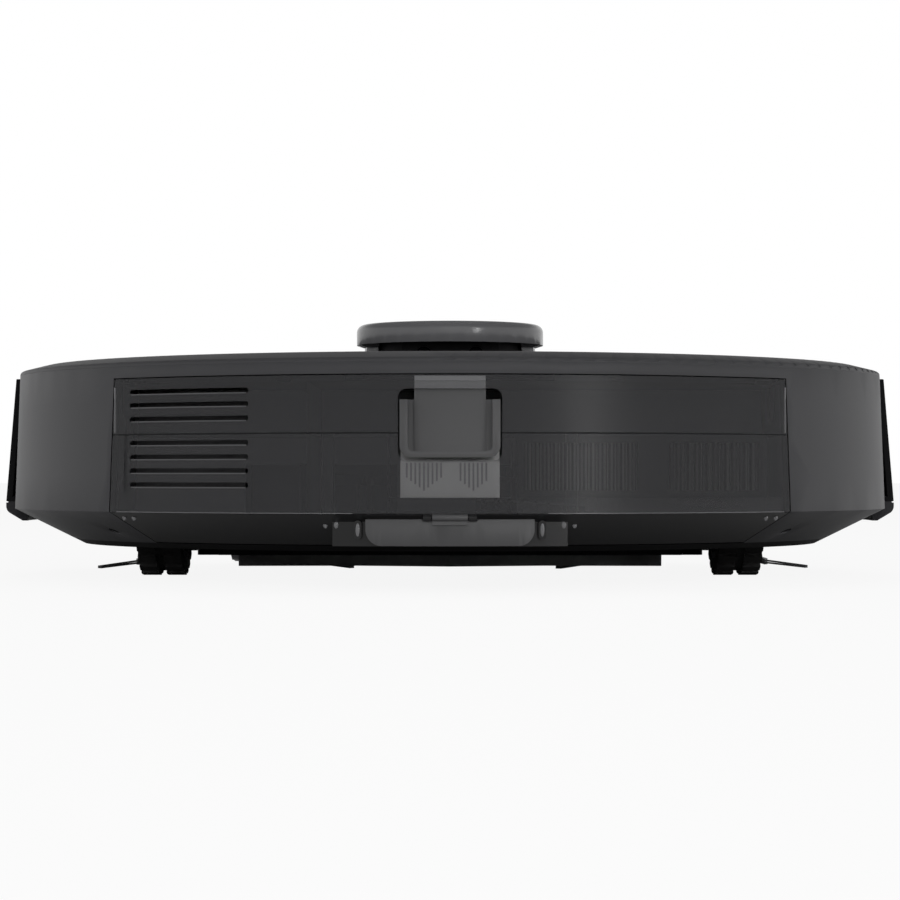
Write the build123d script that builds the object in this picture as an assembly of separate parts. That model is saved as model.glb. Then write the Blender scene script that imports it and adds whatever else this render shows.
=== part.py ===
"""Round robot vacuum with a rear dust bin, as separate named pieces.

Millimetres, +Z up. The floor is z = 0, the rear (bin side) faces -Y and +X is right seen from the rear.
"""
import math
import os

from build123d import *

# Clearances used between all pieces
slide_gap = 0.4        # between a sliding or swinging piece and what it moves past
seat_gap = 0.3         # between a piece and the seat that carries it
running_fit = 0.05     # radial clearance of a pin or shaft in its bearing

# Round body: radii and heights of the outline
body_radius = 172.0
shoulder_lean = 2.0        # how far the wall leans in from crease to shoulder
cover_chamfer = 10.0       # run of the sloping rim of the top
cone_run = 27.0            # run of the lower cone
floor_z = 13.5
crease_z = 27.0
shoulder_z = 78.3
top_z = 82.3
floor_thickness = 2.0
shell_wall = 2.5
cover_thickness = 3.0
cover_rim_width = 6.0
cover_rim_height = 1.5
shoulder_round = 1.4
cover_round = 6.0
far = 400.0            # larger than the part, for cutting blocks
sector_steps = 8       # chords in the arc of a wedge

# Bumper across the front half
bumper_proud = 4.0         # over the body at its lower edge
bumper_lean = 4.0
bumper_low_z = 29.6
bumper_top_z = 77.9
bumper_wall = 2.5
bumper_end_y = -15.0
bumper_travel = 6.0
bumper_flange_width = 8.5
bumper_flange_thickness = 2.0
lip_bottom_z = 22.0
lip_lean = 6.5
lip_gap = 0.5
lip_round = 3.2
lip_lap = 7.7              # width of the bead that joins the lip to the bumper
front_wall_gap = 1.5       # left between bumper and front wall at full travel
front_wall_thickness = 2.5
skirt_top_z = 21.5
skirt_rise = 1.2
window_low_z = 46.0
window_high_z = 62.0
window_half_angle = 50.0
window_thickness = 1.2
tongue_x = 60.0
tongue_half_width = 9.0
tongue_nose_half_width = 2.0
tongue_low_z = 40.0
tongue_thickness = 4.0
tongue_length = 29.5
tongue_nose_length = 5.0
lever_reach = 22.0
lever_gap = 0.9
lever_thickness = 4.0
lever_height = 8.0
lever_pin_radius = 2.0
lever_boss_radius = 4.5

# Rear dust bin: half widths of its outline and heights
bin_half_top = 119.0
bin_half_crease = 120.6
bin_half_floor = 106.0
bin_top_z = 73.9
bin_split_z = 54.0
bin_seal = 0.5
bin_wall = 2.0
bay_front_y = -62.0
bay_wall = 2.0
bay_wall_top_z = 74.5

# Latch in the rear face of the bin
latch_window_half = 17.6
latch_window_low_z = 44.9
latch_window_high_z = 69.2
latch_window_radius = 3.0
latch_half = 17.0
latch_low_z = 45.9
latch_arm_top_z = 65.5
latch_arm_width = 2.7
latch_bar_height = 2.2
latch_panel_half = 12.1
latch_panel_top_z = 71.4
latch_back_depth = 6.6     # depths below the body radius
latch_plate_depth = 5.0
latch_panel_depth = 4.2
latch_rim_depth = 0.8
latch_plate_inset = 1.0
latch_plate_corner = 1.0
latch_stop_gap = 0.5
latch_corner = 4.0
latch_inner_corner = 1.9
latch_travel = 3.0
carrier_half = 16.8
carrier_low_z = 32.3
carrier_high_z = 44.5
carrier_depth = 6.0
latch_rib_x = 21.5
latch_rib_length = 24.0
face_rib_x = 42.0
face_rib_pitch = 4.0
face_rib_depth = 5.0
rib_thickness = 1.2

# Exhaust slots in the left of the bin
vent_low_x = -113.0
vent_high_x = -69.0
vent_height = 1.9
vent_lid_z = (69.05, 64.4, 59.5)
vent_tub_z = (51.1, 46.2, 41.4, 36.5)
vent_frame_margin = 2.0
vent_frame_depth = 0.7
exhaust_wall_x = -48.5

# Filter in the right of the bin
filter_low_x = 24.0
filter_high_x = 113.0
filter_low_z = 32.0
filter_inset = 53.0
filter_depth = 12.0
filter_border = 2.5
filter_bar_low_x = 67.0
filter_bar_high_x = 78.0
pleat_pitch = 3.3
pleat_thickness = 2.4      # along the air flow

# Evacuation door under the crease of the bin
door_half = 28.6
door_low_z = 16.0
door_high_z = 25.0
door_depth = 2.4           # below the body radius
door_thickness = 3.0
door_corner = 5.5
door_frame_half = 40.0
door_hole_half = 23.5
door_hole_low_z = 18.2
door_hole_high_z = 23.6
door_hinge_depth = 1.5
door_hinge_z = 25.7
knuckle_radius = 1.3
knuckle_half = 6.0
hinge_pin_radius = 0.6
hinge_lug_width = 2.7
door_lug_x = 31.3
door_lug_z = 21.4
door_lug_width = 2.6
door_lug_height = 6.4

# Drive wheels and their swinging arms
wheel_inset = 57.9         # middle of the tyre, from the body radius
wheel_radius = 35.0
wheel_width = 17.0
wheel_side_gap = 2.6
wheel_drop_room = 9.0      # how far the floor opening runs on behind the wheel for its swing
tread_depth = 1.8
tread_count = 30
tread_land = 0.55          # share of the pitch that a lug takes
tread_groove_width = 3.0
hub_radius = 27.5
hub_recess = 4.0
hub_rim = 3.0
hub_boss_radius = 8.0
axle_radius = 3.0
axle_inset = 13.0
arm_gap = 3.1              # between arm and tyre
arm_width = 16.5
arm_front_y = 9.0
arm_rear_y = -50.0
arm_low_z = 24.0
arm_high_z = 46.0
arm_corner = 6.0
pivot_y = -42.0
pivot_z = 40.0
pivot_radius = 3.0
lug_thickness = 2.2
lug_half_length = 5.2
lug_top_z = 46.0
drive_motor_y = -20.0
drive_motor_z = 44.0
drive_motor_radius = 11.0
drive_motor_length = 20.0
spring_inner_radius = 4.2
spring_wire_radius = 0.8
spring_turns = 2
spring_leg = 9.0

# Main brush and its housing
housing_gap = 2.6          # between the end of the housing and the tyre
housing_rear_y = 11.5
housing_front_y = 64.5
housing_low_z = 7.5
housing_top_z = 52.0
housing_wall = 2.5
housing_corner = 9.0
brush_y = 37.8
brush_z = 25.0
brush_end_room = 15.0      # from the end of the roller to the end of the housing
brush_radius = 22.4
brush_core_radius = 7.5
brush_sleeve_radius = 9.5
brush_journal_radius = 3.0
brush_end_gap = 1.0
fin_count = 3
fin_start = -13.0          # degrees from straight down
fin_thickness = 2.4
fin_radius = 23.2
fin_sweep = 26.0           # degrees a fin leads at its ends over its middle
tuft_lead = 26.0           # degrees a row of tufts stands in front of its fin
strip_width = 4.0
strip_depth = 1.0
strip_rise = 1.2
tuft_per_half = 16
tuft_strands = 3
strand_width = 0.55
strand_pitch = 0.95
strand_row_pitch = 1.33
guard_bar_width = 1.8
guard_bar_height = 2.2
guard_frame_width = 5.0
brush_motor_radius = 9.0
brush_motor_length = 18.0
brush_gear_width = 6.0
brush_gear_length = 21.0
brush_gear_top_z = 42.0

# Front caster
caster_inset = 30.0        # from the front wall to the swivel axis
caster_wheel_radius = 12.0
caster_wheel_width = 11.0
caster_trail = 4.0
caster_well_radius = 19.0
caster_well_wall = 2.0
caster_fork_radius = 16.0
caster_fork_thickness = 4.0
caster_roof_gap = 1.0
caster_cheek = 3.0
caster_stem_radius = 4.0
caster_axle_radius = 1.5

# Side brushes at the two front corners
side_brush_inset = 34.8
side_brush_angle = 45.6
side_brush_turns = (-24.0, -31.0)   # right and left: degrees of the first arm from straight out sideways
side_brush_arms = 3
side_hub_radius = 9.0
side_hub_low_z = 6.0
side_hub_high_z = 13.1
side_bend_length = 22.0
side_arm_length = 44.0
side_arm_width = 4.2
side_arm_height = 2.6
side_arm_z = 8.6
side_arm_tip_z = 2.8
side_tip_length = 62.0
side_tip_z = 0.7
side_tip_draw = 0.6        # height of a tuft at its tip as a share of that at its root
side_tuft_width = 3.2
side_strands = 12
side_motor_radius = 11.0
side_motor_lift = 3.5
side_motor_height = 30.0
side_shaft_radius = 2.0

# Laser range finder tower
tower_y = -25.0
tower_radius = 36.4
tower_wall_low_z = 90.5
tower_top_z = 98.5
tower_round = 3.0
tower_wall = 2.2
tower_roof = 2.7
tower_leg_angles = (0.0, 90.0, 180.0)
tower_leg_half = 9.0
tower_leg_flare = 1.5
tower_leg_flare_height = 1.0
tower_leg_depth = 4.1
tower_hole_radius = 28.8
rotor_radius = 29.0
rotor_disc_thickness = 3.2
rotor_low_z = 70.0
rotor_head_radius = 28.2
rotor_flat_depth = 7.0
rotor_top_z = 93.0
rotor_lens_radius = 6.0
rotor_lens_spread = 10.0
cup_outer_radius = 34.5
cup_wall = 2.5
cup_floor_z = 64.0
cup_floor = 2.4
cup_flange_radius = 41.0
spindle_radius = 3.0
spindle_boss_radius = 7.0
lidar_motor_x = 47.0
lidar_motor_radius = 8.0
lidar_motor_height = 16.0
lidar_pulley_radius = 4.0
lidar_shaft_radius = 1.5
belt_thickness = 1.0
belt_height = 2.4

# Inside: board, battery, blower and ducts
board_half = 76.0
board_rear_y = 14.0
board_front_y = 106.0
board_z = 58.0
board_thickness = 1.6
board_boss_x = 68.0
board_boss_y = (22.0, 98.0)
board_boss_radius = 3.0
board_chips = (
    (0.0, 50.0, 26.0, 26.0, 2.0),
    (34.0, 54.0, 16.0, 12.0, 1.4),
    (-36.0, 48.0, 20.0, 16.0, 3.0),
    (-58.0, 78.0, 12.0, 10.0, 9.0),
    (52.0, 80.0, 18.0, 8.0, 6.0),
    (0.0, 22.0, 40.0, 7.0, 6.0),
)
battery_half = 70.0
battery_rear_y = 70.0
battery_front_y = 107.0
battery_height = 24.0
battery_edge = 2.0
battery_lip = 3.0          # the cover laps past the ends of the pack
battery_side_lip = 1.0
blower_x = -32.0
blower_gap = 2.0
blower_radius = 29.0
blower_top_z = 56.0
blower_inlet_half = 12.0
exhaust_low_x = -79.0
exhaust_high_x = -50.0
exhaust_depth = 27.0
port_low_z = 22.0
port_high_z = 44.0
impeller_radius = 22.0
impeller_low_z = 24.0
impeller_plate = 2.0
impeller_height = 12.0
impeller_blades = 11
impeller_blade = 1.2
impeller_hub_radius = 6.0
impeller_bore_radius = 2.0
blower_motor_radius = 14.0
duct_low_x = 8.0
duct_high_x = 57.0
duct_wall = 2.0
button_x = 20.0
button_y = 92.0
button_radius = 8.0
button_proud = 0.4
button_travel = 1.0
button_flange = 2.0
button_flange_thickness = 1.4
button_stem_radius = 2.0
switch_height = 2.4
screw_places = ((21.0, 78.5), (33.2, 19.4), (33.8, -22.1))     # inset from the body radius, degrees
screw_post_radius = 3.5
screw_radius = 1.5
screw_head_radius = 2.8
screw_head_depth = 1.6
screw_length = 14.0
contact_x = 42.0
contact_inset = 51.0       # from the front of the body
contact_length = 22.0
contact_width = 9.0
contact_proud = 0.4
cliff_places = ((33.3, 61.6), (33.8, 31.4))     # inset from the body radius, degrees
cliff_length = 14.0
cliff_width = 7.0
wall_eye_x = 122.0
wall_eye_z = 19.5
wall_eye_radius = 2.2
wall_eye_depth = 4.6
wall_eye_recess = 0.6

# Levels that follow from the sizes above
shoulder_radius = body_radius - shoulder_lean
top_radius = shoulder_radius - cover_chamfer
floor_radius = body_radius - cone_run
bumper_low_radius = body_radius + bumper_proud
bumper_top_radius = bumper_low_radius - bumper_lean
bumper_flange_radius = bumper_low_radius - bumper_flange_width
lip_bottom_radius = bumper_low_radius - lip_lean
front_wall_radius = bumper_flange_radius - bumper_travel - front_wall_gap
tongue_tip_y = bumper_flange_radius - tongue_length
tongue_shoulder_y = tongue_tip_y + tongue_nose_length
latch_back_radius = body_radius - latch_back_depth
latch_plate_radius = body_radius - latch_plate_depth
latch_panel_radius = body_radius - latch_panel_depth
latch_rim_radius = body_radius - latch_rim_depth
carrier_front_radius = latch_back_radius - latch_travel - latch_stop_gap
filter_rear_y = filter_inset - body_radius
door_radius = body_radius - door_depth
door_hinge_y = door_hinge_depth - body_radius
wheel_x = body_radius - wheel_inset
wheel_inner_x = wheel_x - wheel_width / 2
arm_outer_x = wheel_inner_x - arm_gap
arm_inner_x = arm_outer_x - arm_width
housing_half = wheel_inner_x - housing_gap
brush_half = housing_half - brush_end_room
caster_y = front_wall_radius - caster_inset
side_brush_x = (body_radius - side_brush_inset) * math.cos(math.radians(side_brush_angle))
side_brush_y = (body_radius - side_brush_inset) * math.sin(math.radians(side_brush_angle))
blower_y = bay_front_y + bay_wall + blower_gap + blower_radius
exhaust_front_y = bay_front_y + bay_wall + exhaust_depth
contact_y = body_radius - contact_inset
floor_top_z = floor_z + floor_thickness
cover_low_z = top_z - cover_thickness
bin_floor_z = floor_top_z + seat_gap
bin_front_y = bay_front_y - seat_gap
lid_low_z = bin_split_z + bin_seal
cone_slope = (body_radius - floor_radius) / (crease_z - floor_z)
side_motor_low_z = floor_top_z + side_motor_lift


# Small makers
def box(x0, x1, y0, y1, z0, z1):
    """Block between two corners."""
    return Pos((x0 + x1) / 2, (y0 + y1) / 2, (z0 + z1) / 2) * Box(x1 - x0, y1 - y0, z1 - z0)


def post(x, y, radius, z0, z1):
    """Upright cylinder."""
    return Pos(x, y, (z0 + z1) / 2) * Cylinder(radius, z1 - z0)


def rod(x0, x1, y, z, radius):
    """Cylinder along X."""
    return Pos((x0 + x1) / 2, y, z) * Rot(0, 90, 0) * Cylinder(radius, x1 - x0)


def turned(points, rounds=()):
    """Solid turned about Z from (radius, z) points, some of them rounded: (point number, radius)."""
    outline = Polygon(*points, align=None)
    for number, radius in rounds:
        x, z = points[number]
        outline = fillet(outline.vertices().sort_by_distance((x, z, 0))[0], radius)
    return revolve(Plane.XZ * outline, Axis.Z)


def prism_x(points, x0, x1):
    """(y, z) outline extruded along X."""
    return Pos(x0, 0, 0) * extrude(Plane.YZ * Polygon(*points, align=None), amount=x1 - x0)


def prism_y(points, y0, y1):
    """(x, z) outline extruded along Y."""
    return Pos(0, y1, 0) * extrude(Plane.XZ * Polygon(*points, align=None), amount=y1 - y0)


def prism_z(points, z0, z1):
    """(x, y) outline extruded along Z."""
    return Pos(0, 0, z0) * extrude(Polygon(*points, align=None), amount=z1 - z0)


def band(inner, outer, z0, z1):
    """Upright ring about the body axis."""
    return post(0, 0, outer, z0, z1) - post(0, 0, inner, z0, z1)


def both(piece):
    """A piece and its mirror image on the other side of x = 0."""
    return [piece, mirror(piece, Plane.YZ)]


def left(piece):
    """Mirror image of a right-hand piece."""
    return mirror(piece, Plane.YZ)


def group(pieces):
    """Separate solids that share one node."""
    return Compound([solid for piece in pieces for solid in piece.solids()])


def polar(radius, degrees):
    """Point on a circle about the origin."""
    angle = math.radians(degrees)
    return radius * math.cos(angle), radius * math.sin(angle)


def polar_places(places):
    """(x, y) of places given as inset from the body radius and degrees."""
    return [polar(body_radius - inset, degrees) for inset, degrees in places]


def sector(radius, middle, sweep):
    """Wedge outline about the origin, from the centre out to the given radius."""
    angles = [middle - sweep / 2 + sweep * step / sector_steps for step in range(sector_steps + 1)]
    return [(0.0, 0.0)] + [polar(radius, angle) for angle in angles]


def cone_radius(z):
    """Radius of the lower cone at a height."""
    return floor_radius + (z - floor_z) * cone_slope


# Body shells
def body_form(inset):
    """Solid of the round body up to the shoulder, drawn in by a wall thickness."""
    lift = inset / cone_slope * math.hypot(1, cone_slope)
    return turned([
        (0, floor_z),
        (cone_radius(floor_z - lift), floor_z),
        (body_radius - inset, crease_z + lift - inset / cone_slope),
        (shoulder_radius - inset, shoulder_z),
        (0, shoulder_z),
    ])


def bin_outline(grow, low_z, high_z):
    """(x, z) outline of the bin seen from the rear, grown sideways, between two levels."""
    levels = [low_z, high_z]
    if low_z < crease_z < high_z:
        levels = [low_z, crease_z, high_z]
    right_side = [(bin_half(z) + grow, z) for z in levels]
    return right_side + [(-x, z) for x, z in reversed(right_side)]


def bin_half(z):
    """Half width of the bin at a height: leaning in above the crease, running in fast below it."""
    if z > crease_z:
        return bin_half_crease - (z - crease_z) * (bin_half_crease - bin_half_top) / (bin_top_z - crease_z)
    return bin_half_crease - (crease_z - z) * (bin_half_crease - bin_half_floor) / (crease_z - bin_floor_z)


def chassis_walls():
    """Front wall, bay walls, screw posts, wheel lugs and caster well above the floor."""
    inner_front = front_wall_radius - front_wall_thickness
    front = band(inner_front, front_wall_radius, skirt_top_z - skirt_rise / 2, cover_low_z)
    skirt = turned([
        (floor_radius, floor_z),
        (cone_radius(skirt_top_z), skirt_top_z),
        (inner_front, skirt_top_z + skirt_rise),
        (inner_front - (skirt_top_z - floor_z) * cone_slope, floor_z + skirt_rise),
    ])
    forward = box(-far, far, bumper_end_y + bumper_travel, far, 0, top_z)
    walls = (front + skirt) & forward
    bay_x = bin_half_crease + slide_gap
    bay_side = box(bay_x, bay_x + bay_wall, bay_front_y - far, bay_front_y + bay_wall, floor_top_z,
                   bay_wall_top_z)
    bay_side = bay_side & body_form(shell_wall + seat_gap)
    bay_front = box(-bay_x, bay_x, bay_front_y, bay_front_y + bay_wall, floor_top_z, bay_wall_top_z)
    for low_x, high_x in bay_ports():
        bay_front = bay_front - box(low_x, high_x, -far, far, port_low_z, port_high_z)
    pieces = [walls, bay_front] + both(bay_side)
    for x, y in polar_places(screw_places):
        pieces += both(post(x, y, screw_post_radius, floor_top_z, cover_low_z))
    pieces += both(post(side_brush_x, side_brush_y, side_motor_radius, floor_top_z, side_motor_low_z))
    for lug_x in pivot_lugs():
        lug = box(lug_x, lug_x + lug_thickness, pivot_y - lug_half_length, pivot_y + lug_half_length,
                  floor_top_z, lug_top_z)
        pieces += both(lug)
    return pieces


def bay_ports():
    """Left and right edges of the three air ports between the bin and the body."""
    intake = (blower_x - blower_inlet_half, blower_x + blower_inlet_half)
    inside = (duct_low_x + duct_wall, duct_high_x - duct_wall)
    return (exhaust_low_x + duct_wall, exhaust_high_x - duct_wall), intake, inside


def pivot_lugs():
    """Inner faces of the two lugs that carry each wheel arm."""
    return arm_inner_x - slide_gap - lug_thickness, arm_outer_x + slide_gap


def caster_levels():
    """Heights of the caster fork plate, its bearing face and the top of its well."""
    plate_low = 2 * caster_wheel_radius + caster_roof_gap
    bearing = plate_low + caster_fork_thickness
    return plate_low, bearing, bearing + caster_well_wall


def floor_openings():
    """Everything that passes through the floor."""
    low_x, high_x = wheel_span()
    wheel_hole = box(pivot_lugs()[1] + lug_thickness, high_x + wheel_side_gap, -wheel_radius - wheel_drop_room,
                     wheel_radius + slide_gap, 0, floor_top_z)
    arm_hole = box(arm_inner_x - slide_gap, low_x, pivot_y + lug_half_length + slide_gap, housing_rear_y, 0,
                   floor_top_z)
    brush_hole = box(-housing_half - seat_gap, housing_half + seat_gap, housing_rear_y - seat_gap,
                     housing_front_y + seat_gap, 0, floor_top_z)
    battery_hole = box(-battery_half - battery_lip, battery_half + battery_lip,
                       battery_rear_y - battery_side_lip, battery_front_y + battery_side_lip, 0, floor_top_z)
    holes = both(wheel_hole) + both(arm_hole) + [brush_hole, battery_hole]
    holes.append(post(0, caster_y, caster_well_radius, 0, floor_top_z))
    holes += both(post(side_brush_x, side_brush_y, side_motor_radius / 2, 0, side_motor_low_z))
    holes += both(box(contact_x - contact_length / 2, contact_x + contact_length / 2,
                      contact_y - contact_width / 2, contact_y + contact_width / 2, 0, floor_top_z))
    for x, y in polar_places(cliff_places):
        holes += both(cliff_lens(x, y))
    for x, y in polar_places(screw_places):
        holes += both(screw(x, y, running_fit))
    return holes


def cliff_lens(x, y):
    """Oval lens flush with the underside, turned to follow the rim."""
    turn = math.degrees(math.atan2(y, x)) + 90
    return Pos(x, y, floor_z) * Rot(0, 0, turn) * extrude(SlotOverall(cliff_length, cliff_width),
                                                          amount=floor_thickness)


def screw(x, y, grow):
    """Countersunk-flush pan screw from below."""
    head = post(x, y, screw_head_radius + grow, floor_z, floor_z + screw_head_depth)
    return head + post(x, y, screw_radius + grow, floor_z, floor_z + screw_length)


def base_chassis():
    """Floor, walls and bearings that carry everything else."""
    floor = turned([
        (0, floor_z),
        (floor_radius, floor_z),
        (cone_radius(floor_top_z), floor_top_z),
        (0, floor_top_z),
    ])
    bearing, well_top = caster_levels()[1:]
    well = post(0, caster_y, caster_well_radius + caster_well_wall, floor_z, well_top)
    pivot_bore = rod(-wheel_x, wheel_x, pivot_y, pivot_z, pivot_radius + running_fit)
    body = floor + chassis_walls() + well
    body = body - floor_openings() - post(0, caster_y, caster_well_radius, floor_z, bearing)
    body = body - post(0, caster_y, caster_stem_radius + running_fit, 0, top_z) - pivot_bore
    slot = box(tongue_x - tongue_half_width - slide_gap, tongue_x + tongue_half_width + slide_gap,
               front_wall_radius / 2, far, tongue_low_z - slide_gap,
               tongue_low_z + tongue_thickness + slide_gap)
    body = body - both(slot)
    lever_post = post(lever_pin_x(), lever_pin_y(), lever_boss_radius, floor_top_z, lever_low_z() - slide_gap)
    lever_pin = post(lever_pin_x(), lever_pin_y(), lever_pin_radius, floor_top_z, lever_low_z() + lever_height)
    return body + both(lever_post + lever_pin)


def side_shell():
    """Round rear and side wall with the bin opening, stepped in where the bumper end passes."""
    step_y = bumper_end_y - bumper_travel - 2 * slide_gap
    wall = (body_form(0) - body_form(shell_wall)) & box(-far, far, -far, step_y, floor_top_z, shoulder_z)
    step_radius = bumper_flange_radius - 2 * slide_gap
    tongue = band(step_radius - shell_wall, step_radius, crease_z, shoulder_z)
    tongue = tongue & box(-far, far, step_y - shell_wall, bumper_end_y + bumper_travel, 0, top_z)
    jamb = band(step_radius - shell_wall, far, crease_z, shoulder_z) & body_form(0)
    wall = wall + tongue + (jamb & box(-far, far, step_y - shell_wall, step_y, 0, top_z))
    opening = prism_y(bin_outline(slide_gap, floor_z, bin_top_z + slide_gap), -far, bay_front_y)
    wall = wall - opening
    for x in (-wall_eye_x, wall_eye_x):
        wall = wall - wall_eye(x, running_fit)
    return wall


def wall_eye(x, grow):
    """Round dark sensor eye set square into the lower cone."""
    radius = cone_radius(wall_eye_z)
    turn = math.degrees(math.asin(x / radius))
    lean = math.degrees(math.atan(1 / cone_slope))
    eye = Cylinder(wall_eye_radius + grow, wall_eye_depth)
    outward = Pos(0, -radius, wall_eye_z) * Rot(180 - lean, 0, 0)
    return Rot(0, 0, turn) * outward * eye


def top_cover():
    """Flat top with a chamfered rim, the tower hole, button holes and bosses for the board."""
    rim_inner = shoulder_radius - cover_rim_width
    cover = turned([
        (0, cover_low_z),
        (top_radius, cover_low_z),
        (rim_inner, shoulder_z),
        (shoulder_radius, shoulder_z),
        (shoulder_radius, shoulder_z + cover_rim_height),
        (top_radius, top_z),
        (0, top_z),
    ], ((4, shoulder_round), (5, cover_round)))
    cover = cover - post(0, tower_y, tower_hole_radius, 0, far)
    cover = cover - both(post(button_x, button_y, button_radius + slide_gap, 0, far))
    bosses = []
    for y in board_boss_y:
        bosses += both(post(board_boss_x, y, board_boss_radius, board_z + board_thickness, cover_low_z))
    return cover + bosses


# Bumper
def bumper_side(z):
    """Outer radius of the bumper at a height."""
    share = (z - bumper_low_z) / (bumper_top_z - bumper_low_z)
    return bumper_low_radius + (bumper_top_radius - bumper_low_radius) * share


def bumper_half():
    """Room the bumper takes: everything in front of its ends."""
    return box(-far, far, bumper_end_y, far, 0, top_z)


def bumper_shell():
    """Outer wall, lower flange and the two guide tongues."""
    flange_top_z = bumper_low_z + bumper_flange_thickness
    wall = turned([
        (bumper_flange_radius, bumper_low_z),
        (bumper_low_radius, bumper_low_z),
        (bumper_top_radius, bumper_top_z),
        (bumper_top_radius - bumper_wall, bumper_top_z),
        (bumper_side(flange_top_z) - bumper_wall, flange_top_z),
        (bumper_flange_radius, flange_top_z),
    ])
    wall = (wall - window_sweep()) & bumper_half()
    tongue_root = math.sqrt(bumper_flange_radius ** 2 - tongue_x ** 2) + bumper_wall
    outline = [
        (tongue_x - tongue_half_width, tongue_root + bumper_wall),
        (tongue_x - tongue_half_width, tongue_shoulder_y),
        (tongue_x - tongue_nose_half_width, tongue_tip_y),
        (tongue_x + tongue_nose_half_width, tongue_tip_y),
        (tongue_x + tongue_half_width, tongue_shoulder_y),
        (tongue_x + tongue_half_width, tongue_root + bumper_wall),
    ]
    tongue = prism_z(outline, tongue_low_z, tongue_low_z + tongue_thickness)
    tongue = tongue & post(0, 0, bumper_side(tongue_low_z + tongue_thickness) - bumper_wall / 2, 0, top_z)
    return wall + both(tongue)


def window_sweep():
    """Room of the dark sensor window let into the bumper face."""
    face = turned([
        (bumper_side(window_low_z) - window_thickness, window_low_z),
        (bumper_side(window_low_z), window_low_z),
        (bumper_side(window_high_z), window_high_z),
        (bumper_side(window_high_z) - window_thickness, window_high_z),
    ])
    return face & prism_z(sector(far, 90, 2 * window_half_angle), 0, top_z)


def bumper_lip():
    """Rounded grey strip under the bumper wall, joined to its flange."""
    high_z = bumper_low_z - lip_gap
    lip = turned([
        (bumper_flange_radius, lip_bottom_z),
        (lip_bottom_radius, lip_bottom_z),
        (bumper_low_radius, high_z - lip_round),
        (bumper_low_radius, high_z),
        (bumper_flange_radius + lip_lap, high_z),
        (bumper_flange_radius + lip_lap, bumper_low_z),
        (bumper_flange_radius, bumper_low_z),
    ], ((2, lip_round),))
    return lip & bumper_half()


def lever_pin_x():
    """Pivot of a bump lever, inboard of its tongue."""
    return tongue_x - lever_reach


def lever_pin_y():
    """Pivot level with the middle of the lever arm."""
    return tongue_tip_y - lever_gap - lever_thickness / 2


def lever_low_z():
    """Underside of a bump lever, centred on its tongue."""
    return tongue_low_z + tongue_thickness / 2 - lever_height / 2


def bump_lever():
    """Right-hand lever that the bumper tongue pushes."""
    low_z = lever_low_z()
    arm = box(lever_pin_x(), tongue_x + 2 * tongue_nose_half_width, lever_pin_y() - lever_thickness / 2,
              lever_pin_y() + lever_thickness / 2, low_z, low_z + lever_height)
    boss = post(lever_pin_x(), lever_pin_y(), lever_boss_radius, low_z, low_z + lever_height)
    return arm + boss - post(lever_pin_x(), lever_pin_y(), lever_pin_radius + running_fit, 0, top_z)


# Dust bin
def bin_block(inset, low_z, high_z):
    """Solid of the bin between two levels, drawn in on every side by a wall."""
    outline = bin_outline(-inset, low_z, high_z)
    return prism_y(outline, -far, bin_front_y - inset) & body_form(inset)


def face_block(half, low_z, high_z, corner, inner_radius, outer_radius):
    """Rounded rectangle seen from the rear, kept between two radii."""
    outline = Plane.XZ * Pos(0, (low_z + high_z) / 2) * RectangleRounded(2 * half, high_z - low_z, corner)
    return extrude(outline, amount=far) & band(inner_radius, outer_radius, 0, top_z)


def vent_slots(levels):
    """Exhaust slots through the rear wall at the given heights."""
    rear_y = -math.sqrt(body_radius ** 2 - vent_low_x ** 2) + 4 * bin_wall
    slot = SlotOverall(vent_high_x - vent_low_x, vent_height)
    middle = (vent_low_x + vent_high_x) / 2
    return [Pos(0, rear_y, 0) * extrude(Plane.XZ * Pos(middle, z) * slot, amount=far) for z in levels]


def vent_recess():
    """Shallow frame round the lower exhaust slots."""
    margin = vent_frame_margin
    room = box(vent_low_x - margin, vent_high_x + margin, -far, 0, vent_tub_z[-1] - vent_height / 2 - margin,
               vent_tub_z[0] + vent_height / 2 + margin)
    return room - body_form(vent_frame_depth)


def latch_window():
    """Opening in the rear wall that the latch shows through."""
    return face_block(latch_window_half, latch_window_low_z, latch_window_high_z, latch_window_radius,
                      shoulder_radius - 3 * bin_wall, far)


def bin_ports():
    """Openings in the front wall of the bin, in line with those of the bay."""
    return [box(low_x, high_x, bin_front_y - 2 * bin_wall, far, port_low_z, port_high_z)
            for low_x, high_x in bay_ports()]


def tub_ribs():
    """Walls and ribs inside the tub."""
    low_z = bin_floor_z
    divider = box(exhaust_wall_x - rib_thickness, exhaust_wall_x, -far, bin_front_y, low_z, bin_split_z)
    filter_mid_y = filter_rear_y + filter_depth / 2
    sill = box(filter_low_x, far, filter_mid_y - rib_thickness, filter_mid_y + rib_thickness, low_z,
               filter_low_z)
    rib_end_y = latch_rib_length - body_radius
    latch_rib = box(latch_rib_x - rib_thickness / 2, latch_rib_x + rib_thickness / 2, -far, rib_end_y,
                    crease_z, bin_split_z)
    shelf = box(-latch_rib_x, latch_rib_x, -far, rib_end_y, carrier_low_z - rib_thickness, carrier_low_z)
    ribs = [divider, sill, shelf] + both(latch_rib)
    for x in (face_rib_x - face_rib_pitch / 2, face_rib_x + face_rib_pitch / 2):
        rib = box(x - rib_thickness / 2, x + rib_thickness / 2, -far, 0, low_z, bin_split_z)
        ribs += both(rib - body_form(bin_wall + face_rib_depth))
    return [rib & bin_block(bin_wall / 2, low_z + bin_wall / 2, bin_split_z) for rib in ribs]


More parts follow.
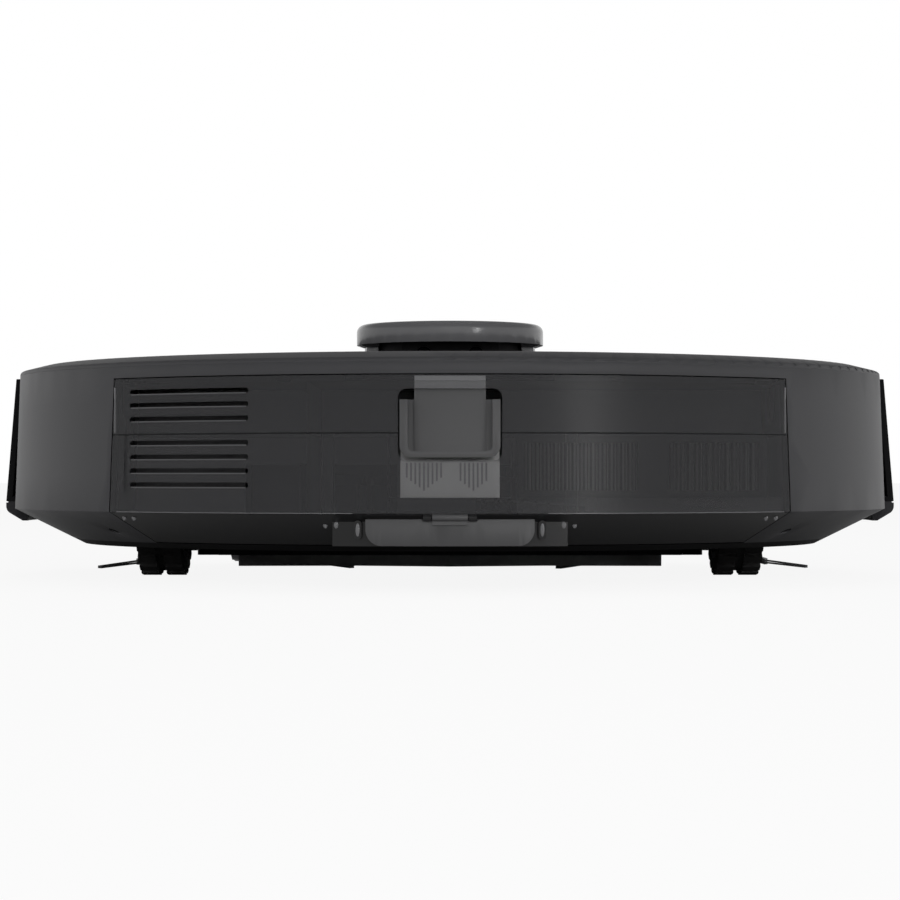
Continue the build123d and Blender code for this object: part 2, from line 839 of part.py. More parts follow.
def door_frame():
    """Block under the crease that the evacuation door closes on, with its pin heads and hinge lugs."""
    frame_radius = door_radius - door_thickness - slide_gap
    block = post(0, 0, frame_radius, bin_floor_z, door_high_z + slide_gap)
    block = block & box(-door_frame_half, door_frame_half, -far, 2 * door_thickness - cone_radius(bin_floor_z),
                        0, far)
    head_y = -math.sqrt(frame_radius ** 2 - door_lug_x ** 2)
    slot = Plane.XZ * Pos(door_lug_x, door_lug_z) * Rot(0, 0, 90) * SlotOverall(door_lug_height, door_lug_width)
    head = extrude(slot, amount=door_thickness / 2, both=True)
    head = Pos(0, head_y, 0) * head
    lug = rod(knuckle_half + slide_gap, knuckle_half + slide_gap + hinge_lug_width, door_hinge_y, door_hinge_z,
              knuckle_radius)
    return [block] + both(head), both(lug)


def bin_tub():
    """Lower part of the bin with its compartments, vents, ports and evacuation opening."""
    tub = bin_block(0, bin_floor_z, bin_split_z) - bin_block(bin_wall, bin_floor_z + bin_wall, bin_split_z)
    tub = tub + tub_ribs()
    room = door_half + slide_gap
    recess = band(door_radius - door_thickness - slide_gap, far, 0, door_high_z + slide_gap)
    tub = tub - (recess & box(-room, room, -far, 0, 0, far))
    block, lugs = door_frame()
    tub = tub + block
    tub = tub - box(-door_hole_half, door_hole_half, -far, bin_wall * 4 - cone_radius(bin_floor_z),
                    door_hole_low_z, door_hole_high_z)
    tub = tub - rod(-knuckle_half - slide_gap, knuckle_half + slide_gap, door_hinge_y, door_hinge_z,
                    knuckle_radius + slide_gap)
    tub = tub + lugs - rod(-far, far, door_hinge_y, door_hinge_z, hinge_pin_radius)
    return tub - vent_slots(vent_tub_z) - vent_recess() - latch_window() - bin_ports()


def bin_lid():
    """Upper part of the bin, open towards the tub."""
    lid = bin_block(0, lid_low_z, bin_top_z) - bin_block(bin_wall, lid_low_z, bin_top_z - bin_wall)
    divider = box(exhaust_wall_x - rib_thickness, exhaust_wall_x, -far, bin_front_y, lid_low_z, bin_top_z)
    lid = lid + (divider & bin_block(bin_wall / 2, lid_low_z, bin_top_z - bin_wall / 2))
    return lid - vent_slots(vent_lid_z) - latch_window()


def bin_gasket():
    """Thin seal between tub and lid, set back a little from the outside."""
    seal = bin_block(slide_gap, bin_split_z, lid_low_z) - bin_block(bin_wall, bin_split_z, lid_low_z)
    return seal - latch_window()


def latch_carrier():
    """Block behind the rear wall that guides and stops the latch."""
    rear = box(-carrier_half, carrier_half, -far, 0, carrier_low_z, carrier_high_z)
    block = band(carrier_front_radius - carrier_depth, shoulder_radius - bin_wall - seat_gap, 0, top_z) & rear
    back = band(carrier_front_radius - carrier_depth, carrier_front_radius, 0, top_z)
    back = back & box(-carrier_half, carrier_half, -far, 0, carrier_low_z, bin_split_z)
    return block + back


def bin_latch():
    """Push latch: a raised U-shaped rim on a plate, and a panel that runs up behind the wall."""
    rim = face_block(latch_half, latch_low_z, latch_arm_top_z + latch_corner, latch_corner, latch_back_radius,
                     latch_rim_radius)
    inside = latch_half - latch_arm_width
    rim = rim - face_block(inside, latch_low_z + latch_bar_height, latch_arm_top_z + latch_corner,
                           latch_inner_corner, latch_back_radius - latch_travel, far)
    rim = rim - box(-far, far, -far, 0, latch_arm_top_z, far)
    plate_low_z = latch_low_z + latch_plate_inset
    plate = face_block(latch_half - latch_plate_inset, plate_low_z, latch_arm_top_z, latch_plate_corner,
                       latch_back_radius, latch_plate_radius)
    panel = face_block(latch_panel_half, plate_low_z, latch_panel_top_z, latch_plate_corner, latch_back_radius,
                       latch_panel_radius)
    return rim + plate + panel


def evac_door():
    """Curved door over the evacuation opening, hung on knuckles at its top edge."""
    door = face_block(door_half, door_low_z, door_high_z + door_corner, door_corner,
                      door_radius - door_thickness, door_radius)
    door = door - box(-far, far, -far, 0, door_high_z, far)
    web = box(-knuckle_half, knuckle_half, door_hinge_y, door_hinge_y + 2 * knuckle_radius,
              door_hinge_z - 2 * knuckle_radius, door_high_z)
    knuckle = rod(-knuckle_half, knuckle_half, door_hinge_y, door_hinge_z, knuckle_radius)
    door = door - both(rod(knuckle_half, knuckle_half + 2 * slide_gap + hinge_lug_width, door_hinge_y,
                           door_hinge_z, knuckle_radius + slide_gap))
    return door + web + knuckle - rod(-far, far, door_hinge_y, door_hinge_z, hinge_pin_radius + running_fit)


def evac_hinge_pin():
    """Steel pin through the door knuckles, held in the lugs of the tub."""
    end = knuckle_half + slide_gap + hinge_lug_width
    return rod(-end, end, door_hinge_y, door_hinge_z, hinge_pin_radius)


def filter_windows():
    """(low x, high x) of the two pleated panels."""
    right_end = filter_high_x - filter_border
    return (filter_low_x + filter_border, filter_bar_low_x), (filter_bar_high_x, right_end)


def filter_frame():
    """Frame that holds the two pleated panels on the sill of the tub."""
    frame = box(filter_low_x, filter_high_x, filter_rear_y, filter_rear_y + filter_depth, filter_low_z,
                bin_split_z)
    for low_x, high_x in filter_windows():
        frame = frame - box(low_x, high_x, -far, far, filter_low_z + filter_border, bin_split_z - filter_border)
    return frame


def hepa_filter():
    """Two pleated paper panels."""
    panels = []
    near = filter_rear_y + seat_gap
    deep = filter_rear_y + filter_depth - pleat_thickness - seat_gap
    for low_x, high_x in filter_windows():
        folds = 2 * round((high_x - low_x) / pleat_pitch)
        step = (high_x - low_x) / folds
        line = [(low_x + step * index, near if index % 2 else deep) for index in range(folds + 1)]
        back = [(x, y + pleat_thickness) for x, y in reversed(line)]
        panels.append(prism_z(line + back, filter_low_z + filter_border, bin_split_z - filter_border))
    return group(panels)


# Right-hand drive module; the left one is its mirror image
def wheel_span():
    """Inner and outer face of the tyre."""
    return wheel_x - wheel_width / 2, wheel_x + wheel_width / 2


def tyre():
    """Rubber tyre with cross lugs on both sides of a centre groove."""
    low_x, high_x = wheel_span()
    base_radius = wheel_radius - tread_depth
    ring = rod(low_x, high_x, 0, wheel_radius, base_radius)
    pitch = 360 / tread_count
    lugs = []
    for index in range(tread_count):
        outline = sector(wheel_radius, pitch * index + 90, pitch * tread_land)
        lugs.append(prism_x([(y, z + wheel_radius) for y, z in outline], low_x, high_x))
    ring = ring + lugs
    groove = rod(wheel_x - tread_groove_width / 2, wheel_x + tread_groove_width / 2, 0, wheel_radius, far)
    groove = groove - rod(-far, far, 0, wheel_radius, base_radius)
    return ring - groove - rod(low_x, high_x, 0, wheel_radius, hub_radius)


def wheel_hub():
    """Plastic rim with dished faces and a steel-size axle stub into the arm."""
    low_x, high_x = wheel_span()
    hub = rod(low_x, high_x, 0, wheel_radius, hub_radius)
    dish_radius = hub_radius - hub_rim
    for face_x, way in ((low_x, 1), (high_x, -1)):
        end_x = face_x + way * hub_recess
        dish = rod(min(face_x, end_x), max(face_x, end_x), 0, wheel_radius, dish_radius)
        hub = hub - (dish - rod(low_x, high_x, 0, wheel_radius, hub_boss_radius))
    return hub + rod(low_x - axle_inset, low_x, 0, wheel_radius, axle_radius)


def drive_arm():
    """Gearbox arm that swings on two pivot stubs and carries the wheel."""
    low_x = wheel_span()[0]
    outline = Plane.YZ * Pos((arm_front_y + arm_rear_y) / 2, (arm_low_z + arm_high_z) / 2)
    outline = outline * RectangleRounded(arm_front_y - arm_rear_y, arm_high_z - arm_low_z, arm_corner)
    arm = Pos(arm_inner_x, 0, 0) * extrude(outline, amount=arm_outer_x - arm_inner_x)
    reach = slide_gap + lug_thickness
    spring_room = 2 * spring_wire_radius * spring_turns + 2 * seat_gap
    arm = arm + rod(arm_inner_x - reach - spring_room, arm_outer_x + reach, pivot_y, pivot_z, pivot_radius)
    boss = rod(arm_outer_x, low_x - slide_gap, 0, wheel_radius, hub_boss_radius)
    return arm + boss - rod(low_x - axle_inset - slide_gap, low_x, 0, wheel_radius, axle_radius + running_fit)


def drive_motor():
    """Can motor on the inner face of the arm."""
    can = rod(arm_inner_x - drive_motor_length, arm_inner_x, drive_motor_y, drive_motor_z, drive_motor_radius)
    end_x = arm_inner_x - drive_motor_length
    return can + rod(end_x - axle_radius, end_x, drive_motor_y, drive_motor_z, axle_radius)


def suspension_spring():
    """Torsion spring on the inner pivot stub, pressing the arm down."""
    end_x = pivot_lugs()[0]
    wound = 2 * spring_wire_radius * spring_turns
    outer = spring_inner_radius + 2 * spring_wire_radius
    stub = rod(end_x - wound - seat_gap, end_x - seat_gap, pivot_y, pivot_z, outer)
    leg = box(end_x - wound - seat_gap, end_x - wound - seat_gap + 2 * spring_wire_radius, pivot_y,
              pivot_y + 2 * spring_wire_radius, pivot_z, pivot_z + outer + spring_leg)
    return stub + leg - rod(-far, far, pivot_y, pivot_z, spring_inner_radius)


# Main brush
def housing_outline(grow):
    """(y, z) outline of the brush housing with a ramped front edge."""
    ramp = housing_corner - grow
    return [
        (housing_rear_y - grow, floor_z),
        (housing_rear_y - grow + ramp / 2, housing_low_z),
        (housing_front_y + grow - ramp, housing_low_z),
        (housing_front_y + grow, floor_z),
        (housing_front_y + grow, housing_top_z + grow),
        (housing_rear_y - grow, housing_top_z + grow),
    ]


def brush_housing():
    """Tunnel over the roller, open below, with a port into the suction duct."""
    shell = prism_x(housing_outline(0), -housing_half, housing_half)
    ends = Plane.XY * Pos(0, (housing_rear_y + housing_front_y) / 2)
    ends = ends * RectangleRounded(2 * housing_half, housing_front_y - housing_rear_y, housing_corner)
    shell = shell & extrude(ends, amount=far)
    inner_half = brush_half + brush_end_gap
    cavity = box(-inner_half, inner_half, housing_rear_y + housing_wall, housing_front_y - housing_wall,
                 0, housing_top_z - housing_wall)
    shell = shell - cavity
    low_x, high_x = bay_ports()[2]
    shell = shell - box(low_x, high_x, housing_rear_y - housing_wall, brush_y, port_low_z, port_high_z)
    shell = shell - rod(-inner_half - 2 * brush_journal_radius, inner_half + 2 * brush_journal_radius, brush_y,
                        brush_z, brush_journal_radius + running_fit)
    tab_top_z = floor_top_z + floor_thickness
    front_tab = box(-brush_half, brush_half, housing_front_y - seat_gap, housing_front_y + housing_wall,
                    floor_top_z, tab_top_z)
    rear_half = arm_inner_x - 2 * lug_thickness
    rear_tab = box(-rear_half, rear_half, housing_rear_y - housing_wall, housing_rear_y + seat_gap,
                   floor_top_z, tab_top_z)
    shell = shell + front_tab + rear_tab
    return shell - guard_room()


def guard_room():
    """Rebate in the underside of the housing that the guard frame clips into."""
    half = brush_half + brush_end_gap + guard_frame_width
    return box(-half - seat_gap, half + seat_gap, housing_rear_y + housing_wall - seat_gap,
               housing_front_y - housing_wall - housing_corner / 2 + seat_gap, 0,
               housing_low_z + guard_bar_height)


def brush_core():
    """Roller shaft with a journal at each end."""
    inner_half = brush_half + brush_end_gap
    core = rod(-brush_half, brush_half, brush_y, brush_z, brush_core_radius)
    reach = inner_half + 2 * brush_journal_radius - seat_gap
    return core + rod(-reach, reach, brush_y, brush_z, brush_journal_radius)


def about_brush(x, radius, degrees, across):
    """Point at a radius and angle about the roller axis, moved sideways along the tangent."""
    angle = math.radians(degrees)
    y = brush_y + radius * math.sin(angle) + across * math.cos(angle)
    z = brush_z - radius * math.cos(angle) + across * math.sin(angle)
    return Vector(x, y, z)


def swept_bar(degrees, low_radius, high_radius, width):
    """Two mirrored bars that meet at the middle of the roller and lead by the sweep at its ends."""
    halves = []
    for end_x in (-brush_half, brush_half):
        sections = []
        for x, turn in ((0, 0), (end_x, fin_sweep)):
            corners = ((low_radius, -width / 2), (high_radius, -width / 2), (high_radius, width / 2),
                       (low_radius, width / 2))
            points = [about_brush(x, radius, degrees + turn, across) for radius, across in corners]
            sections.append(Face(Wire.make_polygon(points)))
        halves.append(loft(sections, ruled=True))
    return halves[0] + halves[1]


def fin_angles():
    """Angle of each rubber fin at the middle of the roller."""
    return [fin_start + 360 / fin_count * index for index in range(fin_count)]


def tuft_strips():
    """Backing strips let into the rubber sleeve, one for each row of tufts."""
    return [swept_bar(angle + tuft_lead, brush_sleeve_radius - strip_depth, brush_sleeve_radius + strip_rise,
                      strip_width) for angle in fin_angles()]


def brush_fins():
    """Rubber sleeve with V-shaped fins."""
    sleeve = rod(-brush_half, brush_half, brush_y, brush_z, brush_sleeve_radius)
    root = brush_core_radius + strip_depth
    fins = [swept_bar(angle, root, fin_radius, fin_thickness) for angle in fin_angles()]
    body = sleeve + fins - rod(-brush_half, brush_half, brush_y, brush_z, brush_core_radius)
    return body - tuft_strips()


def brush_strand(x, degrees, across):
    """One three-sided bristle of the roller."""
    low = brush_sleeve_radius + strip_rise / 2
    corners = ((-strand_width, 0), (strand_width, -strand_width), (strand_width, strand_width))
    foot = [about_brush(x + shift_x, low, degrees, across + shift) for shift_x, shift in corners]
    reach = about_brush(x, brush_radius, degrees, across) - about_brush(x, low, degrees, across)
    return Solid.extrude(Face(Wire.make_polygon(foot)), reach)


def brush_bristles():
    """Rows of tufts in a V, each row on its own backing strip."""
    rows = []
    pitch = brush_half / (tuft_per_half + 0.5)
    for angle, strip in zip(fin_angles(), tuft_strips()):
        strands = []
        for index in range(tuft_per_half):
            for side in (-1, 1):
                x = side * pitch * (index + 0.5)
                lead = fin_sweep * abs(x) / brush_half
                for strand in range(tuft_strands):
                    across = strand_row_pitch * (strand - (tuft_strands - 1) / 2)
                    strands.append(brush_strand(x + side * strand_pitch * (strand % 2), angle + tuft_lead + lead,
                                                across))
        rows.append(strip.fuse(*strands))
    return group(rows)


def brush_guard():
    """Clip-on frame with bars that keep cloth and cords off the roller."""
    inner_half = brush_half + brush_end_gap
    half = inner_half + guard_frame_width
    rear_y = housing_rear_y + housing_wall
    front_y = housing_front_y - housing_wall - housing_corner / 2
    high_z = housing_low_z + guard_bar_height
    frame = box(-half, half, rear_y, front_y, housing_low_z, high_z)
    return frame - box(-inner_half, inner_half, rear_y + guard_bar_width, front_y - guard_bar_width, 0, far)


def brush_gearmotor():
    """Gear case and can motor in front of the left end of the brush housing."""
    outer_x = -housing_half + brush_gear_width / 3
    inner_x = outer_x + brush_gear_width
    front_y = housing_front_y + brush_gear_length
    case = box(outer_x, inner_x, housing_front_y, front_y, floor_top_z, brush_gear_top_z)
    can_y = front_y - brush_motor_radius - seat_gap
    can_z = floor_top_z + brush_motor_radius + housing_wall
    return case + rod(inner_x, inner_x + brush_motor_length, can_y, can_z, brush_motor_radius)


# Caster
def caster_fork():
    """Swivel fork with its stem in the chassis."""
    plate_low, bearing, well_top = caster_levels()
    plate = post(0, caster_y, caster_fork_radius, plate_low, bearing)
    stem = post(0, caster_y, caster_stem_radius, bearing, well_top + 2 * caster_fork_thickness)
    axle_y = caster_y - caster_trail
    cheek_x = caster_wheel_width / 2 + slide_gap
    reach = 2 * caster_cheek
    cheek = box(cheek_x, cheek_x + caster_cheek, axle_y - reach, axle_y + reach,
                caster_wheel_radius - caster_cheek, plate_low)
    end_x = cheek_x + caster_cheek
    return plate + stem + both(cheek) - rod(-end_x, end_x, axle_y, caster_wheel_radius, caster_axle_radius)


def caster_axle():
    """Steel axle pressed through the fork cheeks."""
    end_x = caster_wheel_width / 2 + slide_gap + caster_cheek
    return rod(-end_x, end_x, caster_y - caster_trail, caster_wheel_radius, caster_axle_radius)


def caster_wheel():
    """Small wheel with rounded shoulders."""
    half = caster_wheel_width / 2
    axle_y = caster_y - caster_trail
    wheel = fillet(rod(-half, half, axle_y, caster_wheel_radius, caster_wheel_radius).edges(), half / 3)
    return wheel - rod(-half, half, axle_y, caster_wheel_radius, caster_axle_radius + running_fit)


# Right-hand side brush; the left one is its mirror image
def side_brush(turn):
    """Right-hand hub with a drive stub and three flat arms."""
    hub = post(0, 0, side_hub_radius, side_hub_low_z, side_hub_high_z)
    hub = hub + post(0, 0, side_shaft_radius, side_hub_high_z, side_motor_low_z + side_motor_height / 2)
    for place in side_arm_places(turn):
        hub = hub + place * side_arm(side_hub_radius / 2, side_arm_length - side_arm_height)
    return Pos(side_brush_x, side_brush_y, 0) * hub


def side_arm_places(turn):
    """Place of each arm about the hub."""
    return [Rot(0, 0, turn + 360 / side_brush_arms * index) for index in range(side_brush_arms)]


def side_arm(low_x, high_x):
    """Stretch of an arm that runs out flat and then slopes down."""
    slope = (side_arm_tip_z - side_arm_z) / (side_arm_length - side_bend_length)
    half = side_arm_height / 2
    line = [(x, side_arm_z + max(0.0, x - side_bend_length) * slope) for x in (low_x, side_bend_length, high_x)
            if low_x <= x <= high_x]
    outline = [(x, z - half) for x, z in line] + [(x, z + half) for x, z in reversed(line)]
    return prism_y(outline, -side_arm_width / 2, side_arm_width / 2)


def side_strand(across, rise):
    """One three-sided bristle from the end of an arm down to the floor."""
    half = strand_width / 2
    root_x = side_arm_length - side_arm_height / 2
    root_z = side_arm_tip_z + rise
    foot = [Vector(root_x, across - half, root_z), Vector(root_x, across + half, root_z),
            Vector(root_x, across, root_z + 2 * half)]
    reach = Vector(side_tip_length - root_x, 0, side_tip_z + rise * side_tip_draw - root_z)
    return Solid.extrude(Face(Wire.make_polygon(foot)), reach)


def side_bristles(turn):
    """Three tufts, each on the end slice of its arm."""
    slice_block = side_arm(side_arm_length - side_arm_height, side_arm_length)
    row = side_strands // 2
    strands = []
    for index in range(row):
        across = side_tuft_width * (index / (row - 1) - 0.5)
        for rise in (-side_arm_height / 4, side_arm_height / 8):
            strands.append(side_strand(across, rise))
    tuft = slice_block.fuse(*strands)
    return group([Pos(side_brush_x, side_brush_y, 0) * place * tuft for place in side_arm_places(turn)])


def side_motor():
    """Upright gear motor over the side brush."""
    can = post(side_brush_x, side_brush_y, side_motor_radius, side_motor_low_z,
               side_motor_low_z + side_motor_height)
    bore_top = side_motor_low_z + side_motor_height / 2 + slide_gap
    return can - post(side_brush_x, side_brush_y, side_shaft_radius + running_fit, side_motor_low_z, bore_top)


# Range finder
def lidar_guard():
    """Cap of the tower on three flared legs."""
    roof_z = tower_top_z - tower_roof
    inner_radius = tower_radius - tower_wall
    cap = turned([
        (0, roof_z),
        (inner_radius, roof_z),
        (inner_radius, tower_wall_low_z),
        (tower_radius, tower_wall_low_z),
        (tower_radius, tower_top_z),
        (0, tower_top_z),
    ], ((4, tower_round),))
    leg_radius = tower_hole_radius + slide_gap
    flare_z = tower_wall_low_z - tower_leg_flare_height
    ring = turned([
        (leg_radius, top_z),
        (leg_radius + tower_leg_depth, top_z),
        (leg_radius + tower_leg_depth, flare_z),
        (tower_radius, tower_wall_low_z),
        (inner_radius, tower_wall_low_z + tower_wall),
        (leg_radius, tower_wall_low_z),
    ])
    half = tower_leg_half
    flared = half + tower_leg_flare
    high_z = tower_wall_low_z + tower_wall
    face = [(-half, top_z), (half, top_z), (half, flare_z), (flared, tower_wall_low_z), (flared, high_z),
            (-flared, high_z), (-flared, tower_wall_low_z), (-half, flare_z)]
    for angle in tower_leg_angles:
        cap = cap + (ring & (Rot(0, 0, angle) * prism_x(face, 0, far)))
    return Pos(0, tower_y, 0) * cap


def lidar_base():
    """Cup under the cover with the spindle bearing and an ear for the motor."""
    cup = turned([
        (0, cup_floor_z),
        (cup_outer_radius, cup_floor_z),
        (cup_outer_radius, cover_low_z - cup_wall),
        (cup_flange_radius, cover_low_z - cup_wall),
        (cup_flange_radius, cover_low_z),
        (cup_outer_radius - cup_wall, cover_low_z),
        (cup_outer_radius - cup_wall, cup_floor_z + cup_floor),
        (0, cup_floor_z + cup_floor),
    ])
    cup = cup + post(0, 0, spindle_boss_radius, cup_floor_z, rotor_low_z - seat_gap)
    ear = box(cup_outer_radius - cup_wall, lidar_motor_x + lidar_motor_radius, -lidar_motor_radius,
              lidar_motor_radius, cup_floor_z, cup_floor_z + cup_floor)
    slot = box(0, far, -rotor_radius, rotor_radius, rotor_low_z - belt_thickness, rotor_low_z + 2 * belt_height)
    slot = slot - post(0, 0, cup_outer_radius - 2 * cup_wall, 0, far)
    slot = slot & box(lidar_pulley_radius * 5, far, -far, far, 0, far)
    cup = cup - slot + ear
    cup = cup - post(0, 0, spindle_radius + running_fit, 0, far)
    cup = cup - post(lidar_motor_x, 0, lidar_shaft_radius + slide_gap, 0, far)
    return Pos(0, tower_y, 0) * cup


def lidar_rotor():
    """Turntable with a head that carries the two lens openings."""
    disc = post(0, 0, rotor_radius, rotor_low_z, rotor_low_z + rotor_disc_thickness)
    head = post(0, 0, rotor_head_radius, rotor_low_z + rotor_disc_thickness, rotor_top_z)
    flat_y = rotor_flat_depth - rotor_head_radius
    head = head - box(-far, far, -far, flat_y, rotor_low_z + rotor_disc_thickness, far)
    lens_z = (top_z + tower_wall_low_z) / 2
    for x in (-rotor_lens_spread, rotor_lens_spread):
        bore = Pos(x, flat_y, lens_z) * Rot(90, 0, 0)
        head = head - bore * Cylinder(rotor_lens_radius / 2, rotor_lens_radius)
    spindle = post(0, 0, spindle_radius, cup_floor_z, rotor_low_z)
    return Pos(0, tower_y, 0) * (disc + head + spindle)


def lidar_motor():
    """Small motor hung under the ear of the base."""
    can = post(lidar_motor_x, tower_y, lidar_motor_radius, cup_floor_z - lidar_motor_height, cup_floor_z)
    bore = post(lidar_motor_x, tower_y, lidar_shaft_radius + running_fit,
                cup_floor_z - lidar_motor_height / 2, far)
    return can - bore


def lidar_pulley():
    """Motor pulley on its shaft."""
    belt_top = rotor_low_z + rotor_disc_thickness
    wheel = post(lidar_motor_x, tower_y, lidar_pulley_radius, rotor_low_z - belt_thickness, belt_top)
    shaft_low = cup_floor_z - lidar_motor_height / 2 + slide_gap
    return wheel + post(lidar_motor_x, tower_y, lidar_shaft_radius, shaft_low, belt_top)


def belt_loop(grow):
    """Outline of the drive belt: round the turntable and the pulley with straight runs between."""
    big = rotor_radius + seat_gap + grow
    small = lidar_pulley_radius + seat_gap + grow
    lean = math.degrees(math.acos((big - small) / lidar_motor_x))
    start_x, start_y = polar(big, lean)
    end_x, end_y = polar(small, lean)
    end_x = end_x + lidar_motor_x
    web = Polygon((start_x, -start_y), (end_x, -end_y), (end_x, end_y), (start_x, start_y), align=None)
    return Circle(big) + Pos(lidar_motor_x, 0) * Circle(small) + web


def lidar_belt():
    """Rubber drive belt of the turntable."""
    low_z = rotor_low_z + (rotor_disc_thickness - belt_height) / 2
    loop = belt_loop(belt_thickness) - belt_loop(0)
    return Pos(0, tower_y, low_z) * extrude(loop, amount=belt_height)


# Inside pieces
def main_board():
    """Circuit board with its switches, chips and connectors."""
    top = board_z + board_thickness
    board = box(-board_half, board_half, board_rear_y, board_front_y, board_z, top)
    switch_half = 2 * button_stem_radius
    parts = both(box(button_x - switch_half, button_x + switch_half, button_y - switch_half,
                     button_y + switch_half, top, top + switch_height))
    for x, y, length, width, height in board_chips:
        parts.append(box(x - length / 2, x + length / 2, y - width / 2, y + width / 2, top, top + height))
    return board + parts


def battery_pack():
    """Rechargeable pack on its cover."""
    pack = box(-battery_half, battery_half, battery_rear_y, battery_front_y, floor_top_z,
               floor_top_z + battery_height)
    return chamfer(pack.edges(), battery_edge)


def battery_cover():
    """Plate that closes the battery opening, flush with the underside."""
    half = battery_half + battery_lip - seat_gap
    side = battery_side_lip - seat_gap
    return box(-half, half, battery_rear_y - side, battery_front_y + side, floor_z, floor_top_z)


def blower_room(wall):
    """Volume of the blower with its intake and exhaust boxes, drawn in by a wall."""
    low_z = floor_top_z + wall
    body = post(blower_x, blower_y, blower_radius - wall, low_z, blower_top_z - wall)
    rear_y = bay_front_y + bay_wall
    grow = duct_wall - wall
    intake = box(blower_x - blower_inlet_half - grow, blower_x + blower_inlet_half + grow, rear_y, blower_y,
                 port_low_z - grow, port_high_z + grow)
    exhaust = box(exhaust_low_x + duct_wall - grow, exhaust_high_x - duct_wall + grow, rear_y,
                  exhaust_front_y - wall, port_low_z - grow, port_high_z + grow)
    return body + intake + exhaust


def blower_housing():
    """Scroll with an intake from the bin and an exhaust back through it."""
    return blower_room(0) - blower_room(duct_wall)


def fan_impeller():
    """Radial fan wheel with its shaft stub."""
    wheel = post(0, 0, impeller_radius, impeller_low_z, impeller_low_z + impeller_plate)
    wheel = wheel + post(0, 0, impeller_hub_radius, impeller_low_z, impeller_low_z + impeller_height)
    blade = box(impeller_hub_radius / 2, impeller_radius, -impeller_blade / 2, impeller_blade / 2,
                impeller_low_z, impeller_low_z + impeller_height)
    for index in range(impeller_blades):
        wheel = wheel + Rot(0, 0, 360 / impeller_blades * index) * blade
    motor_low, motor_top = blower_motor_span()
    wheel = wheel + post(0, 0, impeller_bore_radius, impeller_low_z, (motor_low + motor_top) / 2)
    return Pos(blower_x, blower_y, 0) * wheel


def blower_motor_span():
    """Bottom and top of the blower motor inside the housing."""
    return impeller_low_z + impeller_height + 2 * impeller_plate, blower_top_z - duct_wall


def blower_motor():
    """Motor under the roof of the blower."""
    low_z, high_z = blower_motor_span()
    can = post(blower_x, blower_y, blower_motor_radius, low_z, high_z)
    bore_top = (low_z + high_z) / 2 + slide_gap
    return can - post(blower_x, blower_y, impeller_bore_radius + running_fit, low_z, bore_top)


def suction_duct():
    """Square duct from the brush tunnel to the bin."""
    rear_y = bay_front_y + bay_wall
    tube = box(duct_low_x, duct_high_x, rear_y, housing_rear_y - housing_wall, port_low_z - duct_wall,
               port_high_z + duct_wall)
    neck = box(duct_low_x, duct_high_x, rear_y, housing_rear_y, floor_top_z + floor_thickness,
               port_high_z + duct_wall)
    tube = tube + neck
    low_x, high_x = bay_ports()[2]
    return tube - box(low_x, high_x, -far, far, port_low_z, port_high_z)


def push_button(x):
    """Round button with a retaining flange under the cover and a stem over its switch."""
    flange_top = cover_low_z - seat_gap
    cap = post(x, button_y, button_radius, flange_top, top_z + button_proud)
    flange = post(x, button_y, button_radius + button_flange, flange_top - button_flange_thickness, flange_top)
    stem_low = board_z + board_thickness + switch_height + button_travel + slide_gap
    return cap + flange + post(x, button_y, button_stem_radius, stem_low, flange_top)


def charge_contacts():
    """Two metal plates a little proud of the underside."""
    plate = box(contact_x - contact_length / 2, contact_x + contact_length / 2, contact_y - contact_width / 2,
                contact_y + contact_width / 2, floor_z - contact_proud, floor_top_z)
    return group(both(plate))


def sensor_lenses():
    """Oval lenses that look down at the floor and two round eyes sunk in the rear cone."""
    lenses = [lens for x, y in polar_places(cliff_places) for lens in both(cliff_lens(x, y))]
    eyes = [wall_eye(x, 0) & body_form(wall_eye_recess) for x in (-wall_eye_x, wall_eye_x)]
    return group(lenses + eyes)


def chassis_screws():
    """Screws from below into the posts."""
    return group([piece for x, y in polar_places(screw_places) for piece in both(screw(x, y, 0))])


